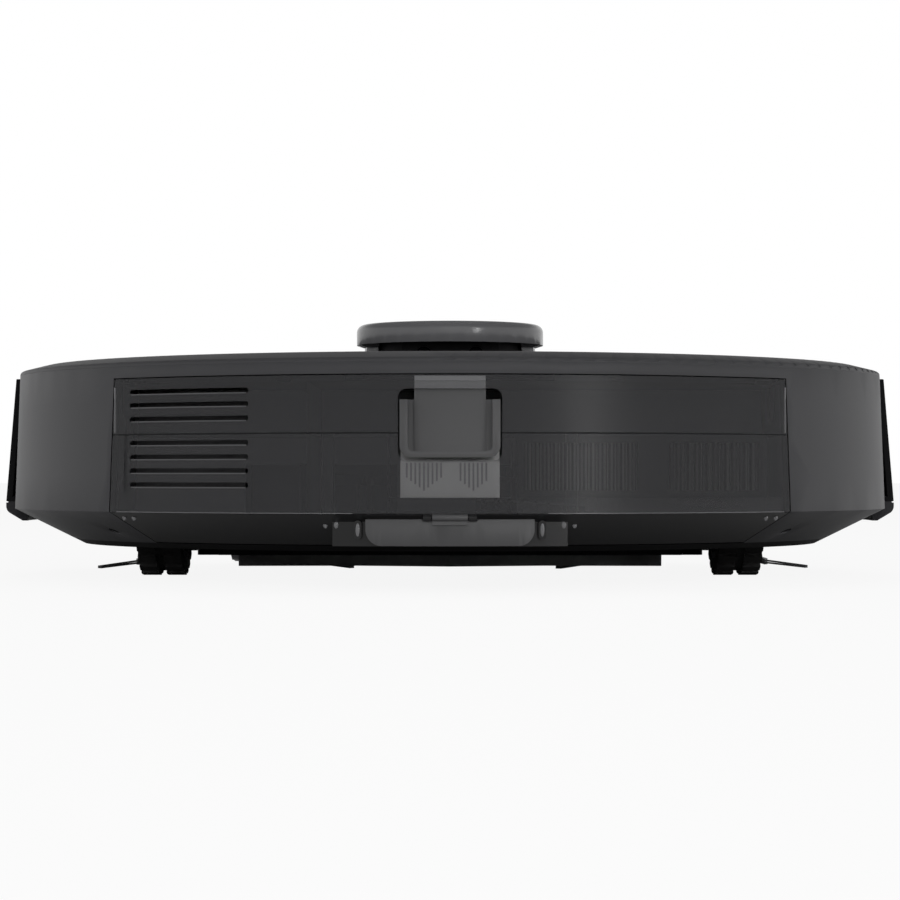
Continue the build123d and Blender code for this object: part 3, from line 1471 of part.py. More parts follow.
def all_nodes():
    """Every named piece."""
    return {
        "base_chassis": base_chassis(),
        "side_shell": side_shell(),
        "top_cover": top_cover(),
        "bumper_shell": bumper_shell(),
        "bumper_window": window_sweep(),
        "bumper_lip": bumper_lip(),
        "bump_lever_right": bump_lever(),
        "bump_lever_left": left(bump_lever()),
        "bin_tub": bin_tub(),
        "bin_lid": bin_lid(),
        "bin_gasket": bin_gasket(),
        "latch_carrier": latch_carrier(),
        "bin_latch": bin_latch(),
        "evac_door": evac_door(),
        "evac_hinge_pin": evac_hinge_pin(),
        "filter_frame": filter_frame(),
        "hepa_filter": hepa_filter(),
        "tyre_right": tyre(),
        "tyre_left": left(tyre()),
        "wheel_hub_right": wheel_hub(),
        "wheel_hub_left": left(wheel_hub()),
        "drive_arm_right": drive_arm(),
        "drive_arm_left": left(drive_arm()),
        "drive_motor_right": drive_motor(),
        "drive_motor_left": left(drive_motor()),
        "suspension_spring_right": suspension_spring(),
        "suspension_spring_left": left(suspension_spring()),
        "brush_housing": brush_housing(),
        "brush_core": brush_core(),
        "brush_fins": brush_fins(),
        "brush_bristles": brush_bristles(),
        "brush_guard": brush_guard(),
        "brush_gearmotor": brush_gearmotor(),
        "caster_fork": caster_fork(),
        "caster_axle": caster_axle(),
        "caster_wheel": caster_wheel(),
        "side_brush_right": side_brush(side_brush_turns[0]),
        "side_brush_left": left(side_brush(side_brush_turns[1])),
        "side_bristles_right": side_bristles(side_brush_turns[0]),
        "side_bristles_left": left(side_bristles(side_brush_turns[1])),
        "side_motor_right": side_motor(),
        "side_motor_left": left(side_motor()),
        "lidar_guard": lidar_guard(),
        "lidar_base": lidar_base(),
        "lidar_rotor": lidar_rotor(),
        "lidar_motor": lidar_motor(),
        "lidar_pulley": lidar_pulley(),
        "lidar_belt": lidar_belt(),
        "main_board": main_board(),
        "battery_pack": battery_pack(),
        "battery_cover": battery_cover(),
        "blower_housing": blower_housing(),
        "blower_motor": blower_motor(),
        "fan_impeller": fan_impeller(),
        "suction_duct": suction_duct(),
        "clean_button": push_button(-button_x),
        "dock_button": push_button(button_x),
        "charge_contacts": charge_contacts(),
        "sensor_lenses": sensor_lenses(),
        "chassis_screws": chassis_screws(),
    }


os.makedirs("parts", exist_ok=True)
for node, shape in all_nodes().items():
    export_step(shape, f"parts/{node}.step")
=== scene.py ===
"""Dresses the robot vacuum: finishes, small fittings, studio and camera."""

import math
from functools import partial

import bmesh
import bpy
from mathutils import Matrix, Vector


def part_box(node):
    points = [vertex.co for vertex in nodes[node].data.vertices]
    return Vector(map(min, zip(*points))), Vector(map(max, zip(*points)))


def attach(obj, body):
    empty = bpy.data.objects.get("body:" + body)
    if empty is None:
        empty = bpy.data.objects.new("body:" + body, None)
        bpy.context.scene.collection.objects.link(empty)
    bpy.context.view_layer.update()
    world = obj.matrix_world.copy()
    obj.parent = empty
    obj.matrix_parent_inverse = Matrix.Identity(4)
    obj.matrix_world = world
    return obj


bl_info = {
    "name": "Robot Vacuum Finisher",
    "version": (1, 0, 0),
    "blender": (4, 5, 0),
    "location": "View3D > Sidebar > Robot vacuum",
    "description": "Finishes and small fittings for a round robot vacuum with a rear dust bin",
    "category": "Object",
}

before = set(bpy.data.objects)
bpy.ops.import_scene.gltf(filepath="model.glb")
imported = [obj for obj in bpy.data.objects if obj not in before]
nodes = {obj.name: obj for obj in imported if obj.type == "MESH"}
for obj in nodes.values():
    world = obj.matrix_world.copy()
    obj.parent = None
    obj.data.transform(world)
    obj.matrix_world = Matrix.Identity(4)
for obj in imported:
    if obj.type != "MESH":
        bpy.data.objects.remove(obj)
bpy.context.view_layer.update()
MM = 0.001
SHARP = math.radians(35)
DEEP_BLACK = "#060606"

# Pitch of the fine grain on most mouldings, in mm
GRAIN = 0.3

# Fittings of the cover and the tower, in mm
SUNK = 0.1                       # how deep a fitting sits in the cover
BUTTON_RING = (8.7, 9.6, 0.25)   # inner radius, outer radius, depth
STATUS_LIGHT = (1.4, 1.4, 0.3)   # half sizes
LENS_PLACE = (10, 20.6, 86.4)    # aside, behind the middle of the tower, height
LENS_SIZE = (2.8, 0.6, 2.8)      # half sizes

# Heights of the exhaust slots in the lid and the tub of the bin, and the lip under each slot, in mm
VENT_LID = (69.05, 64.4, 59.5)
VENT_TUB = (51.1, 46.2, 41.4, 36.5)
LIP_DROP = 1.0                   # from the middle of a slot down to the foot of its lip
LIP_X = (-112.2, -69.8)
LIP_LID_INSET = 0.3
LIP_TUB_INSET = 1.0
LIP_HEIGHT = 0.35
LIP_DEPTH = 0.4

# Snaps and pins on the lower wall of the bin, as pale studs that are partly painted highlights of bright
# spots there, in mm
CONE_RUN = 2                     # how far the lower wall runs in for each mm down
SNAPS = ((42.5, 22.95), (111.7, 25.0), (115.5, 25.0))                  # aside, height
SNAP_SIZE = (0.8, 0.3, 1.2)                                            # half sizes
PINS = ((31.3, 164.6, 21.4, 2.5), (38.7, 161.75, 22.95, 1.2))          # aside, rear, height, half length

# Painted highlights along the crease of the bin and at both ends of its lid, as pale bars, in mm
EDGE_DEPTH = 0.35
CREASE_EDGE_X = (33, 118)
CREASE_EDGE_HALF = 0.12
CREASE_EDGE_INSET = 0.3
END_EDGE_X = (118.5, 119.0)
END_EDGE_Z = (55, 71)
END_EDGE_INSET = 0.2

# Tongue, tab and comb at the latch, in mm
TONGUE_X = (-12, 12)
TONGUE_INSET = 4.2
TONGUE_Z = (-2.1, 0.4)           # from the top of the latch
TAB_Z = (-2, -0.3)               # from the top of the lid
PLATE_DEPTH = 0.3
COMB_GROUPS = ((-8.8, 9), (7.9, 7))                                    # middle, ribs
COMB_PITCH = 1.45
COMB_HALF = 0.3
COMB_INSET = 4.4
COMB_TOP = 44.2
COMB_LENGTH = 9.5
COMB_TAPER = 1.1                 # how much shorter each rib is than the next one towards the middle

# Pale ring of a wheel, a painted highlight, in mm: in and out from the rim of the hub, and depth
PALE_RING = (1.6, 0.8, 0.18)

# Cross recess of a screw, a near-black cross of painted shade, in mm: half sizes of one arm, reach of one
# head, slack of its flat face
CROSS_ARM = (1.6, 0.3, 0.1)
HEAD_REACH = 7
HEAD_FLAT = 0.01


def linear(hex_colour):
    """sRGB hex text as a linear colour."""
    channels = [int(hex_colour[i:i + 2], 16) / 255 for i in (1, 3, 5)]
    return [c / 12.92 if c <= 0.04045 else ((c + 0.055) / 1.055) ** 2.4 for c in channels]


def mm(*lengths):
    """Lengths in millimetres, as metres."""
    return tuple(value * MM for value in lengths)


def colour(hex_colour, name, description):
    """A colour a user may change."""
    return bpy.props.FloatVectorProperty(name=name, description=description, subtype="COLOR", size=3,
                                         min=0, max=1, default=linear(hex_colour))


def length(size_mm, name, description):
    """A length a user may change."""
    return bpy.props.FloatProperty(name=name, description=description, unit="LENGTH", min=0,
                                   default=size_mm * MM)


class FinishSettings(bpy.types.PropertyGroup):
    """Colours of the finishes."""
    shell: colour("#3a3a3c", "Shell", "Grey moulded shell and cover")
    cap: colour("#58585a", "Tower cap", "Grey glossy cap of the tower")
    lip: colour("#343436", "Lip", "Grey strip under the bumper")
    latch: colour("#484849", "Latch", "Latch of the bin")
    carrier: colour("#bababa", "Latch block", "Pale block behind the smoky wall under the latch")
    bumper: colour("#161617", "Bumper", "Satin black bumper")
    chassis: colour("#0c0c0d", "Chassis", "Black moulded chassis and housings")
    smoke: colour("#464648", "Smoke", "Smoky clear bin")
    tyre: colour("#343434", "Tyre", "Tyre rubber")
    fin: colour("#8e8e90", "Fins", "Soft rubber of the roller")
    arm: colour("#6a6a6c", "Arms", "Soft rubber of the arms of the side brushes")
    bristle: colour("#101010", "Bristles", "Nylon bristles of the roller")
    side_bristle: colour("#5c5c5e", "Side bristles", "Nylon bristles of the side brushes")
    paper: colour("#5e5e5c", "Filter", "Pleated filter paper")
    board: colour("#0f4a2c", "Board", "Solder mask of the circuit board")
    steel: colour("#b9babc", "Steel", "Plated steel")
    contact: colour("#c9b98a", "Contacts", "Plated charging contacts")
    wrap: colour("#2a3038", "Battery wrap", "Shrink wrap of the battery")
    seal: colour("#1a1a1b", "Seal", "Soft seal in the joint of the bin")
    # painted highlight: lighter than the smoke, for the lit lower lip of each exhaust slot
    edge: colour("#4c4c4e", "Vent lips", "Light edge of the exhaust slots")
    comb: colour("#7c7c7e", "Latch comb", "Thin ribs on the block under the latch, and the tab over it")
    tongue: colour("#969698", "Latch tongue", "Pale end of the latch behind the wall")
    # pale studs that are partly painted highlights; the same colour paints the highlight bars along the
    # crease and the lid ends
    clear: colour("#626264", "Clear studs", "Moulded ends of the snaps of the bin")


class SizeSettings(bpy.types.PropertyGroup):
    """Sizes of the body and its edges, and the place of the camera."""
    edge: length(0.35, "Edge round", "Rounding of moulded edges")
    fine_edge: length(0.15, "Fine edge round", "Rounding of small pieces")
    body_radius: length(172, "Body radius", "Radius of the body at its crease")
    wall_lean: length(2, "Wall lean", "How far the side wall leans in up to the shoulder")
    crease: length(27, "Crease height", "Height of the crease between wall and lower cone")
    eye_height: length(40, "Eye height", "Camera height above the floor")
    eye_distance: length(1066, "Eye distance", "Camera distance from the middle of the body")
    focal: bpy.props.FloatProperty(name="Lens", description="Focal length in millimetres on a 36 mm sensor",
                                   subtype="DISTANCE_CAMERA", default=106.4)
    rise: bpy.props.FloatProperty(name="Lens rise", default=0.0278,
                                  description="Upward shift of the frame as a share of its width")


def finish():
    """The finish settings."""
    return bpy.context.scene.robot_finish


def sizes():
    """The size settings."""
    return bpy.context.scene.robot_sizes


def add(tree, kind, links=None, **settings):
    """Adds a node: settings are attributes, or sockets where the name is one; links are socket to output."""
    node = tree.nodes.new(kind)
    for key, value in settings.items():
        if hasattr(node, key):
            setattr(node, key, value)
        else:
            node.inputs[key.replace("_", " ")].default_value = value
    for key, output in (links or {}).items():
        tree.links.new(output, node.inputs[key])
    return node


def start(name):
    """A new material with its tree, its shader and its Object coordinates."""
    material = bpy.data.materials.new(name)
    material.use_nodes = True
    tree = material.node_tree
    shader = tree.nodes["Principled BSDF"]
    place = add(tree, "ShaderNodeTexCoord").outputs["Object"]
    return material, tree, shader, place


def rgba(rgb):
    """A colour with full alpha."""
    return (*rgb, 1.0)


def grained(name, rgb, rough, depth_mm, shine=0.5, grain_mm=GRAIN):
    """Moulded, drawn or wrapped plastic: a fine even grain that breaks up the gloss, in a drifting tone."""
    material, tree, shader, place = start(name)
    grain = add(tree, "ShaderNodeTexNoise", {"Vector": place}, Scale=1 / (grain_mm * MM), Detail=3.0)
    flow = add(tree, "ShaderNodeTexNoise", {"Vector": place}, Scale=1 / (60 * MM), Detail=2.0)
    tone = add(tree, "ShaderNodeMapRange", {"Value": flow.outputs["Fac"]}, To_Min=0.93, To_Max=1.07)
    tint = add(tree, "ShaderNodeVectorMath", {"Scale": tone.outputs["Result"]}, operation="SCALE")
    tint.inputs[0].default_value = rgb
    gloss = add(tree, "ShaderNodeMapRange", {"Value": grain.outputs["Fac"]}, To_Min=rough - 0.05,
                To_Max=rough + 0.05)
    bump = add(tree, "ShaderNodeBump", {"Height": grain.outputs["Fac"]}, Strength=0.5, Distance=depth_mm * MM)
    tree.links.new(tint.outputs["Vector"], shader.inputs["Base Color"])
    tree.links.new(gloss.outputs["Result"], shader.inputs["Roughness"])
    tree.links.new(bump.outputs["Normal"], shader.inputs["Normal"])
    shader.inputs["Specular IOR Level"].default_value = shine
    return material


def smoky_polycarbonate():
    """Moulded smoky polycarbonate: glossy, half clear above the crease and opaque in its thick lower wall,
    where painted shade darkens the colour, most on the upright faces round the door.

    Only the side of a wall that faces the eye tints what is behind it.
    """
    material, tree, shader, place = start("Smoky polycarbonate, moulded")
    flow = add(tree, "ShaderNodeTexNoise", {"Vector": place}, Scale=1 / (35 * MM), Detail=2.0)
    gloss = add(tree, "ShaderNodeMapRange", {"Value": flow.outputs["Fac"]}, To_Min=0.26, To_Max=0.34)
    tree.links.new(gloss.outputs["Result"], shader.inputs["Roughness"])
    shader.inputs["Specular IOR Level"].default_value = 0.3
    geometry = add(tree, "ShaderNodeNewGeometry")
    front = add(tree, "ShaderNodeMath", {1: geometry.outputs["Backfacing"]}, operation="SUBTRACT")
    front.inputs[0].default_value = 1.0
    height = add(tree, "ShaderNodeSeparateXYZ", {"Vector": place})
    thin = add(tree, "ShaderNodeMapRange", {"Value": height.outputs["Z"]},
               From_Min=sizes().crease - 0.6 * MM, From_Max=sizes().crease - 0.2 * MM)
    # painted shade: below the crease, upright faces round the door keep 0.1 of the smoke colour and the
    # down-facing slope keeps 0.36
    way = add(tree, "ShaderNodeSeparateXYZ", {"Vector": geometry.outputs["Normal"]})
    painted_shade_by_facing = add(tree, "ShaderNodeMapRange", {"Value": way.outputs["Z"]}, From_Min=-0.6, From_Max=-0.2,
                 To_Min=0.36, To_Max=0.1)
    # painted shade: full smoke colour above the crease, the darkened share below it
    depth = add(tree, "ShaderNodeMapRange", {"Value": thin.outputs["Result"],
                                             "To Min": painted_shade_by_facing.outputs["Result"]})
    tint = add(tree, "ShaderNodeVectorMath", {"Scale": depth.outputs["Result"]}, operation="SCALE")
    tint.inputs[0].default_value = finish().smoke
    tree.links.new(tint.outputs["Vector"], shader.inputs["Base Color"])
    wall = add(tree, "ShaderNodeMapRange", {"Value": thin.outputs["Result"]}, To_Min=1.0, To_Max=0.5)
    cover = add(tree, "ShaderNodeMath", {0: wall.outputs["Result"], 1: front.outputs["Value"]},
                operation="MULTIPLY")
    tree.links.new(cover.outputs["Value"], shader.inputs["Alpha"])
    return material


def black_lens():
    """Dark tinted acrylic that lets infrared through: a clean deep gloss with a faint polish ripple."""
    material, tree, shader, place = start("Tinted acrylic, polished")
    ripple = add(tree, "ShaderNodeTexNoise", {"Vector": place}, Scale=1 / (25 * MM))
    gloss = add(tree, "ShaderNodeMapRange", {"Value": ripple.outputs["Fac"]}, To_Min=0.06, To_Max=0.12)
    tree.links.new(gloss.outputs["Result"], shader.inputs["Roughness"])
    shader.inputs["Base Color"].default_value = rgba(linear("#0b0b0d"))
    shader.inputs["IOR"].default_value = 1.49
    return material


def status_diffuser():
    """Milky acrylic over a small lamp that is off: smooth, pale and a little hazy."""
    material, tree, shader, place = start("Milky acrylic, moulded")
    haze = add(tree, "ShaderNodeTexNoise", {"Vector": place}, Scale=1 / (3 * MM))
    gloss = add(tree, "ShaderNodeMapRange", {"Value": haze.outputs["Fac"]}, To_Min=0.2, To_Max=0.3)
    tree.links.new(gloss.outputs["Result"], shader.inputs["Roughness"])
    shader.inputs["Base Color"].default_value = rgba(linear("#c8ccd0"))
    return material


def dull(name, rgb, rough, grain_mm):
    """Rubber, a pale ring of painted highlight or a dark recess of painted shade: little gloss, with a dusty
    bloom that lies unevenly.
    """
    material, tree, shader, place = start(name)
    bloom = add(tree, "ShaderNodeTexNoise", {"Vector": place}, Scale=1 / (9 * MM), Detail=4.0)
    tone = add(tree, "ShaderNodeMapRange", {"Value": bloom.outputs["Fac"]}, To_Min=0.8, To_Max=1.3)
    tint = add(tree, "ShaderNodeVectorMath", {"Scale": tone.outputs["Result"]}, operation="SCALE")
    tint.inputs[0].default_value = rgb
    grain = add(tree, "ShaderNodeTexNoise", {"Vector": place}, Scale=1 / (grain_mm * MM), Detail=2.0)
    bump = add(tree, "ShaderNodeBump", {"Height": grain.outputs["Fac"]}, Strength=0.4, Distance=0.05 * MM)
    tree.links.new(tint.outputs["Vector"], shader.inputs["Base Color"])
    tree.links.new(bump.outputs["Normal"], shader.inputs["Normal"])
    shader.inputs["Roughness"].default_value = rough
    shader.inputs["Specular IOR Level"].default_value = 0.2
    return material


def bright_metal(name, rgb):
    """Drawn steel or bright plating: fine lines and a soft shine."""
    material, tree, shader, place = start(name)
    lines = add(tree, "ShaderNodeTexWave", {"Vector": place}, Scale=1 / (1.2 * MM), Distortion=3.0,
                Detail=2.0)
    gloss = add(tree, "ShaderNodeMapRange", {"Value": lines.outputs["Fac"]}, To_Min=0.28, To_Max=0.42)
    tree.links.new(gloss.outputs["Result"], shader.inputs["Roughness"])
    shader.inputs["Base Color"].default_value = rgba(rgb)
    shader.inputs["Metallic"].default_value = 1.0
    return material


def plated_contact():
    """Nickel and gold flash on brass: smooth, warm, with rubbing marks along the way it docks."""
    material, tree, shader, place = start("Gold-flashed brass, stamped")
    along = add(tree, "ShaderNodeMapping", {"Vector": place}, vector_type="POINT", Scale=(1.0, 0.05, 1.0))
    marks = add(tree, "ShaderNodeTexNoise", {"Vector": along.outputs["Vector"]}, Scale=1 / (0.6 * MM),
                Detail=3.0)
    gloss = add(tree, "ShaderNodeMapRange", {"Value": marks.outputs["Fac"]}, To_Min=0.18, To_Max=0.4)
    tree.links.new(gloss.outputs["Result"], shader.inputs["Roughness"])
    shader.inputs["Base Color"].default_value = rgba(finish().contact)
    shader.inputs["Metallic"].default_value = 1.0
    return material


def filter_paper():
    """Pleated glass-fibre paper: matt grey, with a fine felted surface and uneven dust, and stripes of
    painted light and shade across the fine pleats.
    """
    material, tree, shader, place = start("Glass-fibre paper, pleated, painted fold shade")
    fold_mm = 1.33
    felt = add(tree, "ShaderNodeTexNoise", {"Vector": place}, Scale=1 / (0.8 * MM), Detail=4.0)
    dust = add(tree, "ShaderNodeTexNoise", {"Vector": place}, Scale=1 / (14 * MM), Detail=2.0)
    haze = add(tree, "ShaderNodeMapRange", {"Value": dust.outputs["Fac"]}, To_Min=0.75, To_Max=1.05)
    # painted light and shade: the colour runs from 0.05 to 1.6 times across each pleat
    folds = add(tree, "ShaderNodeTexWave", {"Vector": place}, Scale=math.tau / (20 * fold_mm * MM))
    crease = add(tree, "ShaderNodeMapRange", {"Value": folds.outputs["Fac"]}, To_Min=0.05, To_Max=1.6)
    tone = add(tree, "ShaderNodeMath", {0: haze.outputs["Result"], 1: crease.outputs["Result"]},
               operation="MULTIPLY")
    tint = add(tree, "ShaderNodeVectorMath", {"Scale": tone.outputs["Value"]}, operation="SCALE")
    tint.inputs[0].default_value = finish().paper
    bump = add(tree, "ShaderNodeBump", {"Height": felt.outputs["Fac"]}, Strength=0.6, Distance=0.1 * MM)
    tree.links.new(tint.outputs["Vector"], shader.inputs["Base Color"])
    tree.links.new(bump.outputs["Normal"], shader.inputs["Normal"])
    shader.inputs["Roughness"].default_value = 0.95
    return material


def solder_mask():
    """Circuit board under green solder mask: copper tracks show as paler lines."""
    material, tree, shader, place = start("Glass-epoxy board, solder mask")
    tracks = add(tree, "ShaderNodeTexBrick", {"Vector": place}, Scale=1 / (16 * MM), Mortar_Size=0.03)
    mask = Vector(finish().board)
    tracks.inputs["Color1"].default_value = rgba(mask)
    tracks.inputs["Color2"].default_value = rgba(mask * 0.8)
    tracks.inputs["Mortar"].default_value = rgba(mask * 2.2)
    tree.links.new(tracks.outputs["Color"], shader.inputs["Base Color"])
    shader.inputs["Roughness"].default_value = 0.3
    return material


def paint(material, *names):
    """Gives CAD nodes a finish."""
    for name in names:
        data = nodes[name].data
        data.materials.clear()
        data.materials.append(material)


def soften(width, *names):
    """Rounds the sharp edges of CAD nodes, as a moulding tool does."""
    for name in names:
        weld = nodes[name].modifiers.new("Joined faces", "WELD")
        weld.merge_threshold = 0.002 * MM
        bevel = nodes[name].modifiers.new("Moulded edge", "BEVEL")
        bevel.width = width
        bevel.segments = 2
        bevel.limit_method = "ANGLE"
        bevel.angle_limit = SHARP
        bevel.harden_normals = True


def piece(name, mesh_maker, material, body):
    """A new piece: a mesh from a maker that fills a bmesh in place, its finish and the body it moves with."""
    mesh = bpy.data.meshes.new(name)
    shape = bmesh.new()
    mesh_maker(shape)
    bmesh.ops.recalc_face_normals(shape, faces=shape.faces)
    shape.to_mesh(mesh)
    shape.free()
    mesh.materials.append(material)
    mesh.shade_smooth()
    mesh.set_sharp_from_angle(angle=SHARP)
    thing = bpy.data.objects.new(name, mesh)
    bpy.context.scene.collection.objects.link(thing)
    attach(thing, body)


def ring(shape, middle, axis, inner, outer, depth):
    """Flat ring with rounded edges about an axis, spun from a rectangle; depth runs along the axis."""
    corners = [(inner, 0), (outer, 0), (outer, depth), (inner, depth)]
    verts = [shape.verts.new((radius, 0, height)) for radius, height in corners]
    face = shape.faces.new(verts)
    rounding = min(outer - inner, depth) * 0.25
    bmesh.ops.bevel(shape, geom=list(face.verts), offset=rounding, segments=2, profile=0.5, affect="VERTICES",
                    material=-1)
    outline = list(shape.edges)
    bmesh.ops.delete(shape, geom=list(shape.faces), context="FACES_ONLY")
    bmesh.ops.spin(shape, geom=outline, cent=(0, 0, 0), axis=(0, 0, 1), angle=math.tau, steps=96,
                   use_merge=True)
    turn = Vector((0, 0, 1)).rotation_difference(Vector(axis)).to_matrix().to_4x4()
    bmesh.ops.transform(shape, matrix=Matrix.Translation(middle) @ turn, verts=shape.verts)


def arc_bar(shape, radius, x_range, z_range, depth):
    """Bar that follows a round wall about the body axis on the rear side, standing out from a radius."""
    begin, end = (math.asin(x / radius) for x in x_range)
    low, high = z_range
    corners = ((radius, low), (radius + depth, low), (radius + depth, high), (radius, high))
    verts = [shape.verts.new((r * math.sin(begin), -r * math.cos(begin), z)) for r, z in corners]
    face = shape.faces.new(verts)
    outline = list(face.edges)
    bmesh.ops.delete(shape, geom=[face], context="FACES_ONLY")
    bmesh.ops.spin(shape, geom=outline, cent=(0, 0, 0), axis=(0, 0, 1), angle=end - begin, steps=12)
    bmesh.ops.holes_fill(shape, edges=[edge for edge in shape.edges if edge.is_boundary])


def dome(shape, middle, radii):
    """Small rounded stud."""
    ball = bmesh.ops.create_uvsphere(shape, u_segments=24, v_segments=12, radius=1.0)["verts"]
    bmesh.ops.transform(shape, matrix=Matrix.Translation(middle) @ Matrix.Diagonal((*radii, 1.0)), verts=ball)


def top_of(name):
    """Height of the top of a CAD node."""
    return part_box(name)[1][2]


def middle_of(name):
    """Middle of a CAD node's box."""
    low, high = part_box(name)
    return (Vector(low) + Vector(high)) / 2


def wall_radius(height):
    """Radius of the leaning side wall at a height."""
    share = (height - sizes().crease) / (top_of("side_shell") - sizes().crease)
    return sizes().body_radius - sizes().wall_lean * share


def other_rays(tree):
    """1 for rays that reach a surface by a mirror or through glass."""
    path = add(tree, "ShaderNodeLightPath").outputs
    either = add(tree, "ShaderNodeMath", {0: path["Is Glossy Ray"], 1: path["Is Transmission Ray"]},
                 operation="MAXIMUM")
    return either.outputs["Value"]


class ROBOT_OT_shell(bpy.types.Operator):
    """Finishes the shell, cover, tower cap, bumper and door, and adds the fittings of cover and tower"""
    bl_idname = "robot.shell"
    bl_label = "Shell and bumper"

    def execute(self, context):
        shell = grained("ABS, moulded with a fine grain", finish().shell, rough=0.5, depth_mm=0.008,
                        shine=0.32)
        paint(shell, "side_shell", "top_cover")
        door = grained("ABS, moulded door", finish().latch, rough=0.45, depth_mm=0.006, shine=0.4)
        paint(door, "evac_door")
        cap = grained("ABS, moulded with a gloss", finish().cap, rough=0.2, depth_mm=0.001)
        paint(cap, "lidar_guard")
        lip = grained("ABS, moulded smooth", finish().lip, rough=0.6, depth_mm=0.006, shine=0.08)
        paint(lip, "bumper_lip")
        bumper = grained("Polycarbonate blend, satin", finish().bumper, rough=0.62, depth_mm=0.008,
                         shine=0.04)
        paint(bumper, "bumper_shell")
        paint(black_lens(), "bumper_window")
        eye = grained("Polycarbonate, infrared black", linear(DEEP_BLACK), rough=0.6, depth_mm=0.004,
                      shine=0.1)
        paint(eye, "sensor_lenses")
        soften(sizes().edge, "side_shell", "top_cover", "lidar_guard", "bumper_shell", "bumper_lip",
               "evac_door")
        chrome = bright_metal("Chromed ABS, plated", finish().steel)
        for name in ("clean_button", "dock_button"):
            piece(f"{name}_ring", partial(self.button_ring, name=name), chrome, "base")
        piece("status_light", self.status_light, status_diffuser(), "base")
        piece("laser_lenses", self.laser_lenses, black_lens(), "lidar_rotor")
        return {"FINISHED"}

    def button_ring(self, shape, name):
        """Thin bright ring let into the cover round a button."""
        middle = middle_of(name)
        ring(shape, (middle.x, middle.y, top_of("top_cover") - SUNK * MM), (0, 0, 1), *mm(*BUTTON_RING))

    def status_light(self, shape):
        """Small round light between the buttons."""
        dome(shape, (0, middle_of("clean_button").y, top_of("top_cover") - SUNK * MM), mm(*STATUS_LIGHT))

    def laser_lenses(self, shape):
        """The two lenses in the flat of the turning head."""
        aside, behind, height = mm(*LENS_PLACE)
        for x in (-aside, aside):
            dome(shape, (x, middle_of("lidar_guard").y - behind, height), mm(*LENS_SIZE))


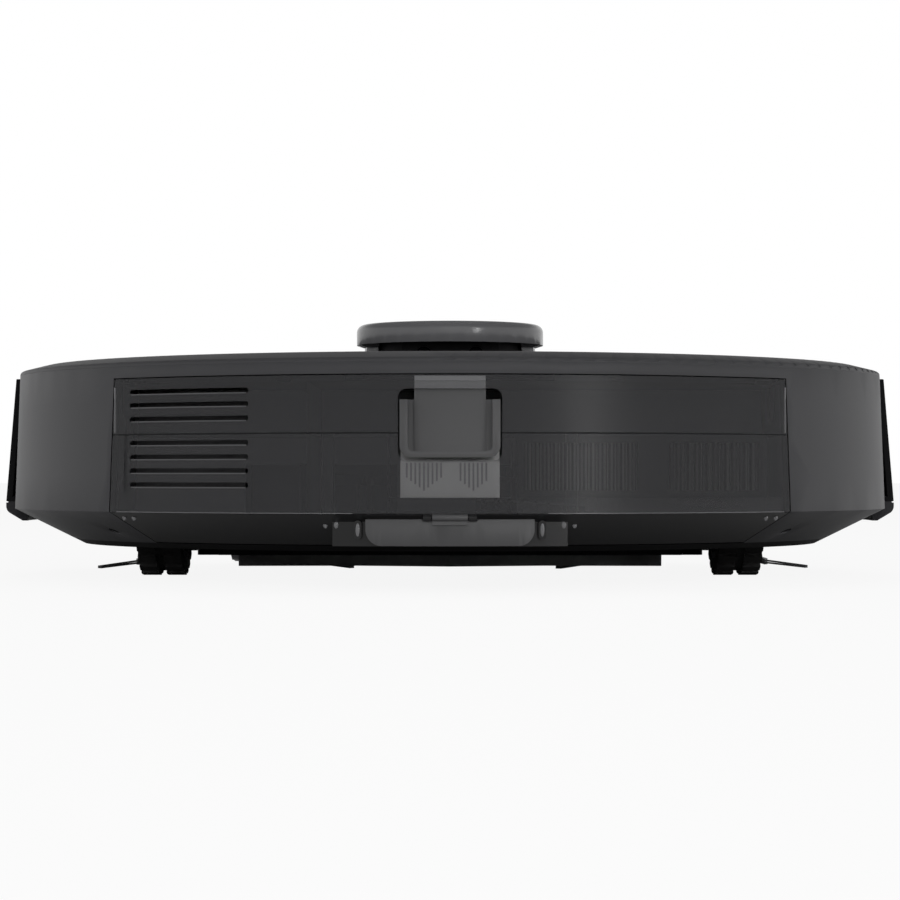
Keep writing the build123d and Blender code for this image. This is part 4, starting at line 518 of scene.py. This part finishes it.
class ROBOT_OT_bin(bpy.types.Operator):
    """Finishes the dust bin, its latch and its filter, and adds the small mouldings that show on them"""
    bl_idname = "robot.bin"
    bl_label = "Dust bin"

    def execute(self, context):
        paint(smoky_polycarbonate(), "bin_tub", "bin_lid")
        latch = grained("ABS, moulded satin", finish().latch, rough=0.45, depth_mm=0.006, shine=0.4)
        paint(latch, "bin_latch")
        paint(grained("ABS, moulded pale", finish().carrier, rough=0.5, depth_mm=0.006), "latch_carrier")
        paint(filter_paper(), "hepa_filter")
        soften(sizes().fine_edge, "bin_latch", "latch_carrier")
        # painted highlight on the lower lip of each exhaust slot
        edge = grained("Smoky polycarbonate, lip with painted highlight", finish().edge, rough=0.3, depth_mm=0.002)
        piece("vent_lips", self.vent_lips, edge, "bin")
        clear = grained("Pale polycarbonate and painted highlights", finish().clear, rough=0.2, depth_mm=0.001)
        piece("snap_studs", self.snap_studs, clear, "bin")
        # painted highlights: pale bars along the crease and at both ends of the lid
        piece("edge_highlights", self.edge_highlights, clear, "bin")
        pale = grained("ABS, moulded tongue", finish().tongue, rough=0.5, depth_mm=0.006)
        piece("latch_tongue", self.latch_tongue, pale, "bin_latch")
        comb = grained("ABS, moulded comb", finish().comb, rough=0.5, depth_mm=0.006)
        piece("latch_comb", self.latch_comb, comb, "bin")
        piece("lid_tab", self.lid_tab, comb, "bin")
        return {"FINISHED"}

    def vent_lips(self, shape):
        """Thin lip along the lower edge of each exhaust slot, coloured lighter as a painted highlight of the
        light catching it.
        """
        lid = [(height, LIP_LID_INSET) for height in VENT_LID]
        tub = [(height, LIP_TUB_INSET) for height in VENT_TUB]
        for height, inset in lid + tub:
            low = (height - LIP_DROP) * MM
            high = low + LIP_HEIGHT * MM
            arc_bar(shape, wall_radius(low) - inset * MM, mm(*LIP_X), (low, high), LIP_DEPTH * MM)

    def snap_studs(self, shape):
        """Rounded ends of the snaps that hold the lower edge of the bin, and of the pins beside the door,
        pale so that they are partly painted highlights.
        """
        for side in (-1, 1):
            for aside, height in SNAPS:
                x, z = mm(side * aside, height)
                radius = sizes().body_radius - CONE_RUN * (sizes().crease - z)
                dome(shape, (x, -math.sqrt(radius ** 2 - x ** 2), z), mm(*SNAP_SIZE))
            for aside, rear, height, reach in PINS:
                dome(shape, mm(side * aside, -rear, height), mm(*SNAP_SIZE[:2], reach))

    def edge_highlights(self, shape):
        """Painted highlights as pale bars: along the crease and at both ends of the lid."""
        crease = sizes().crease
        crease_z = (crease - CREASE_EDGE_HALF * MM, crease + CREASE_EDGE_HALF * MM)
        crease_radius = sizes().body_radius - CREASE_EDGE_INSET * MM
        end_z = mm(*END_EDGE_Z)
        end_radius = wall_radius(end_z[1]) - END_EDGE_INSET * MM
        bars = ((CREASE_EDGE_X, crease_radius, crease_z), (END_EDGE_X, end_radius, end_z))
        for x_pair, radius, z_range in bars:
            near, far = mm(*x_pair)
            for x_range in ((-far, -near), (near, far)):
                arc_bar(shape, radius, x_range, z_range, EDGE_DEPTH * MM)

    def latch_tongue(self, shape):
        """Pale end of the latch, just behind the wall over its window."""
        self.plate(shape, top_of("bin_latch"), TONGUE_Z)

    def lid_tab(self, shape):
        """Pale tab moulded into the top of the lid over the latch."""
        self.plate(shape, top_of("bin_lid"), TAB_Z)

    def plate(self, shape, top, z_pair):
        """Thin plate as wide as the tongue of the latch, between two heights from a top."""
        low, high = (top + z * MM for z in z_pair)
        arc_bar(shape, sizes().body_radius - TONGUE_INSET * MM, mm(*TONGUE_X), (low, high), PLATE_DEPTH * MM)

    def latch_comb(self, shape):
        """Two groups of thin upright ribs on the block under the latch, longest in the middle of each."""
        radius = sizes().body_radius - COMB_INSET * MM
        for middle_x, count in COMB_GROUPS:
            for index in range(count):
                step = index - (count - 1) / 2
                x = middle_x + COMB_PITCH * step
                low = COMB_TOP - COMB_LENGTH + COMB_TAPER * abs(step)
                arc_bar(shape, radius, mm(x - COMB_HALF, x + COMB_HALF), mm(low, COMB_TOP), PLATE_DEPTH * MM)


class ROBOT_OT_wheels(bpy.types.Operator):
    """Finishes the tyres and adds a pale ring inside each wheel as a painted highlight"""
    bl_idname = "robot.wheels"
    bl_label = "Wheels"

    def execute(self, context):
        tyre = dull("Tyre rubber, moulded", finish().tyre, rough=0.85, grain_mm=0.7)
        paint(tyre, "tyre_right", "tyre_left")
        # painted highlight: a pale ring for the bright arcs on the inner face of each tyre
        felt = dull("Pale ring, painted highlight", linear("#77777a"), rough=0.9, grain_mm=0.5)
        for side in ("right", "left"):
            maker = partial(self.pale_ring, side=side)
            piece(f"pale_ring_{side}", maker, felt, f"wheel_{side}")
        return {"FINISHED"}

    def pale_ring(self, shape, side):
        """Pale ring round the rim of the hub, on the inner face of the tyre: a painted highlight of the
        bright arcs seen there.
        """
        low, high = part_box(f"tyre_{side}")
        face_x, way = (low[0], -1) if side == "right" else (high[0], 1)
        centre = middle_of(f"tyre_{side}")
        hub_low, hub_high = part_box(f"wheel_hub_{side}")
        rim = (hub_high[2] - hub_low[2]) / 2
        inward, outward, depth = mm(*PALE_RING)
        ring(shape, (face_x, centre.y, centre.z), (way, 0, 0), rim - inward, rim + outward, depth)


class ROBOT_OT_brushes(bpy.types.Operator):
    """Finishes the roller, the side brushes, the belt of the tower and the seal of the bin"""
    bl_idname = "robot.brushes"
    bl_label = "Brushes and soft parts"

    def execute(self, context):
        paint(dull("Silicone rubber, moulded", finish().fin, rough=0.6, grain_mm=0.8), "brush_fins")
        arms = dull("Thermoplastic rubber, moulded", finish().arm, rough=0.6, grain_mm=0.8)
        paint(arms, "side_brush_right", "side_brush_left")
        paint(dull("Neoprene belt, ground", finish().seal, rough=0.8, grain_mm=0.8), "lidar_belt")
        paint(dull("Silicone seal, moulded", finish().seal, rough=0.7, grain_mm=0.8), "bin_gasket")
        tufts = grained("Nylon bristle, drawn black", finish().bristle, rough=0.4, depth_mm=0.005, shine=0.2)
        paint(tufts, "brush_bristles")
        tips = grained("Nylon bristle, drawn grey", finish().side_bristle, rough=0.4, depth_mm=0.005,
                       shine=0.3)
        paint(tips, "side_bristles_right", "side_bristles_left")
        return {"FINISHED"}


class ROBOT_OT_inside(bpy.types.Operator):
    """Finishes the chassis and the black mouldings, metal parts, battery and board that it carries"""
    bl_idname = "robot.inside"
    bl_label = "Chassis and inside"

    def execute(self, context):
        black = grained("Polypropylene, moulded black", finish().chassis, rough=0.55, depth_mm=0.008,
                        shine=0.12, grain_mm=0.4)
        paint(black, "base_chassis", "bump_lever_right", "bump_lever_left", "filter_frame", "wheel_hub_right",
              "wheel_hub_left", "drive_arm_right", "drive_arm_left", "brush_housing", "brush_core",
              "brush_guard", "caster_fork", "caster_wheel", "lidar_base", "battery_cover", "blower_housing",
              "suction_duct", "clean_button", "dock_button", "fan_impeller", "lidar_rotor")
        paint(bright_metal("Steel, drawn and blackened", linear("#1c1c1e")), "evac_hinge_pin", "blower_motor")
        paint(bright_metal("Zinc-plated steel, drawn", finish().steel), "suspension_spring_right",
              "suspension_spring_left", "caster_axle", "lidar_pulley", "chassis_screws", "drive_motor_right",
              "drive_motor_left", "brush_gearmotor", "side_motor_right", "side_motor_left", "lidar_motor")
        paint(plated_contact(), "charge_contacts")
        paint(solder_mask(), "main_board")
        film = grained("Heat-shrink film, wrapped", finish().wrap, rough=0.3, depth_mm=0.02, grain_mm=1.0)
        paint(film, "battery_pack")
        # painted shade: the cross recess is coloured near black for the shade that fills it
        recess = dull("Cross recess, painted shade", linear(DEEP_BLACK), rough=0.8, grain_mm=0.5)
        piece("screw_crosses", self.screw_crosses, recess, "base")
        return {"FINISHED"}

    def screw_heads(self):
        """Middle of the flat face of each chassis screw."""
        screws = nodes["chassis_screws"]
        face_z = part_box("chassis_screws")[0][2]
        heads = []
        for vertex in screws.data.vertices:
            place = screws.matrix_world @ vertex.co
            if place.z > face_z + HEAD_FLAT * MM:
                continue
            near = [head for head in heads if (head[0] - place).length < HEAD_REACH * MM]
            if near:
                near[0].append(place)
            else:
                heads.append([place])
        return [sum(head, Vector()) / len(head) for head in heads]

    def screw_crosses(self, shape):
        """Cross recess in the head of each chassis screw, as a near-black cross of painted shade."""
        along, across, depth = mm(*CROSS_ARM)
        for middle in self.screw_heads():
            for size in ((along, across, depth), (across, along, depth)):
                cube = bmesh.ops.create_cube(shape, size=2.0)["verts"]
                place = Matrix.Translation(middle) @ Matrix.Diagonal((*size, 1.0))
                bmesh.ops.transform(shape, matrix=place, verts=cube)


class ROBOT_OT_stage(bpy.types.Operator):
    """Sets the pale floor, the soft studio light and the camera"""
    bl_idname = "robot.stage"
    bl_label = "Studio"

    def execute(self, context):
        self.floor()
        body = (0, 0, 0.05)
        cover_edge = (0, 0, 0.09)
        self.lamp("Left softbox", (-1.6, -0.9, 0.45), body, 0.9, 0.7, 6.5)
        self.lamp("Right softbox", (1.65, -0.5, 0.45), body, 0.7, 0.7, 4.3)
        self.lamp("Strip light", (0.92, -1.42, 0.3), cover_edge, 0.1, 0.55, 2.6, mirrored=True)
        self.lamp("Front softbox", (0.2, -2.3, 0.6), body, 1.2, 0.8, 21)
        self.lamp("Top softbox", (0, 0.5, 1.9), body, 1.2, 0.8, 3.5)
        self.world()
        self.camera()
        bpy.context.scene.view_settings.view_transform = "Standard"
        return {"FINISHED"}

    def floor(self):
        """Large flat floor under the object."""
        mesh = bpy.data.meshes.new("floor")
        shape = bmesh.new()
        bmesh.ops.create_grid(shape, x_segments=1, y_segments=1, size=12)
        shape.to_mesh(mesh)
        shape.free()
        mesh.materials.append(self.floor_paint())
        floor = bpy.data.objects.new("floor", mesh)
        bpy.context.scene.collection.objects.link(floor)

    def floor_paint(self):
        """Pale paint, white to the camera and to mirrors, with a soft cast shadow, a painted shadow under the
        body in what mirrors see, and clear from below.
        """
        material = bpy.data.materials.new("Pale studio floor")
        material.use_nodes = True
        tree = material.node_tree
        tree.nodes.clear()
        place = add(tree, "ShaderNodeTexCoord").outputs["Object"]
        camera = add(tree, "ShaderNodeLightPath").outputs["Is Camera Ray"]
        under_body = 0.14
        clear_of_body = 0.28
        mirror_share = 0.92
        camera_share = 0.9
        grey = add(tree, "ShaderNodeMapRange", {"Value": camera}, To_Min=linear("#868686")[0], To_Max=0.95)
        matt = add(tree, "ShaderNodeBsdfDiffuse", {"Color": grey.outputs["Result"]})
        white = add(tree, "ShaderNodeEmission", Color=rgba((1, 1, 1)), Strength=1.0)
        away = add(tree, "ShaderNodeVectorMath", {0: place}, operation="LENGTH")
        # painted shadow: within a fixed disc under the body mirrors lose the white and see only the lit matt
        # paint
        clear = add(tree, "ShaderNodeMapRange", {"Value": away.outputs["Value"]}, From_Min=under_body,
                    From_Max=clear_of_body, To_Max=mirror_share)
        mirrored = add(tree, "ShaderNodeMath", {0: other_rays(tree), 1: clear.outputs["Result"]},
                       operation="MULTIPLY")
        seen = add(tree, "ShaderNodeMath", {0: camera}, operation="MULTIPLY")
        seen.inputs[1].default_value = camera_share
        share = add(tree, "ShaderNodeMath", {0: seen.outputs["Value"], 1: mirrored.outputs["Value"]},
                    operation="MAXIMUM")
        mix = add(tree, "ShaderNodeMixShader", {0: share.outputs["Value"], 1: matt.outputs["BSDF"],
                                                2: white.outputs["Emission"]})
        back = add(tree, "ShaderNodeNewGeometry").outputs["Backfacing"]
        nothing = add(tree, "ShaderNodeBsdfTransparent").outputs["BSDF"]
        one_way = add(tree, "ShaderNodeMixShader", {0: back, 1: mix.outputs["Shader"], 2: nothing})
        add(tree, "ShaderNodeOutputMaterial", {"Surface": one_way.outputs["Shader"]})
        return material

    def lamp(self, name, place, aim, width, height, power, mirrored=False):
        """A softbox in metres and watts, seen in shiny surfaces only where asked."""
        light = bpy.data.lights.new(name, "AREA")
        light.shape = "RECTANGLE"
        light.size = width
        light.size_y = height
        light.energy = power
        lamp = bpy.data.objects.new(name, light)
        lamp.visible_glossy = mirrored
        lamp.location = place
        lamp.rotation_euler = (Vector(aim) - Vector(place)).to_track_quat("-Z", "Y").to_euler()
        bpy.context.scene.collection.objects.link(lamp)

    def world(self):
        """Even pale surround: a white backdrop where it is seen, under a dim ceiling."""
        world = bpy.data.worlds.new("Studio")
        bpy.context.scene.world = world
        world.use_nodes = True
        tree = world.node_tree
        tree.nodes.clear()
        dim = 0.25
        ceiling_from = 0.25
        ceiling_full = 0.5
        even = add(tree, "ShaderNodeBackground", Color=rgba((1, 1, 1)), Strength=dim)
        way = add(tree, "ShaderNodeSeparateXYZ", {0: add(tree, "ShaderNodeTexCoord").outputs["Generated"]})
        ceiling = add(tree, "ShaderNodeMapRange", {"Value": way.outputs["Z"]}, From_Min=ceiling_from,
                      From_Max=ceiling_full, To_Min=1.0, To_Max=dim)
        white = add(tree, "ShaderNodeBackground", {"Strength": ceiling.outputs["Result"]},
                    Color=rgba((1, 1, 1)))
        camera = add(tree, "ShaderNodeLightPath").outputs["Is Camera Ray"]
        seen = add(tree, "ShaderNodeMath", {0: camera, 1: other_rays(tree)}, operation="MAXIMUM")
        mix = add(tree, "ShaderNodeMixShader", {0: seen.outputs["Value"], 1: even.outputs["Background"],
                                                2: white.outputs["Background"]})
        add(tree, "ShaderNodeOutputWorld", {"Surface": mix.outputs["Shader"]})

    def camera(self):
        """Eye-level camera behind the object."""
        view = bpy.data.cameras.new("Camera")
        view.lens = sizes().focal
        view.shift_y = sizes().rise
        camera = bpy.data.objects.new("Camera", view)
        camera.location = (0, -sizes().eye_distance, sizes().eye_height)
        camera.rotation_euler = (math.radians(90), 0, 0)
        bpy.context.scene.collection.objects.link(camera)
        bpy.context.scene.camera = camera


class ROBOT_PT_panel(bpy.types.Panel):
    """Lists the steps and their settings"""
    bl_idname = "ROBOT_PT_panel"
    bl_label = "Robot vacuum"
    bl_space_type = "VIEW_3D"
    bl_region_type = "UI"
    bl_category = "Robot vacuum"

    def draw(self, context):
        for step in STEPS:
            self.layout.operator(step.bl_idname)
        for settings in (context.scene.robot_finish, context.scene.robot_sizes):
            for key in settings.__annotations__:
                self.layout.prop(settings, key)


STEPS = (ROBOT_OT_shell, ROBOT_OT_bin, ROBOT_OT_wheels, ROBOT_OT_brushes, ROBOT_OT_inside, ROBOT_OT_stage)
CLASSES = (FinishSettings, SizeSettings, *STEPS, ROBOT_PT_panel)


def register():
    """Registers the classes and hangs the settings on the scene."""
    for cls in CLASSES:
        bpy.utils.register_class(cls)
    bpy.types.Scene.robot_finish = bpy.props.PointerProperty(type=FinishSettings)
    bpy.types.Scene.robot_sizes = bpy.props.PointerProperty(type=SizeSettings)


def unregister():
    """Takes the settings off the scene and unregisters the classes."""
    del bpy.types.Scene.robot_sizes
    del bpy.types.Scene.robot_finish
    for cls in reversed(CLASSES):
        bpy.utils.unregister_class(cls)


def main():
    """Runs every step in order."""
    register()
    bpy.ops.robot.shell()
    bpy.ops.robot.bin()
    bpy.ops.robot.wheels()
    bpy.ops.robot.brushes()
    bpy.ops.robot.inside()
    bpy.ops.robot.stage()


if __name__ == "__main__":
    main()
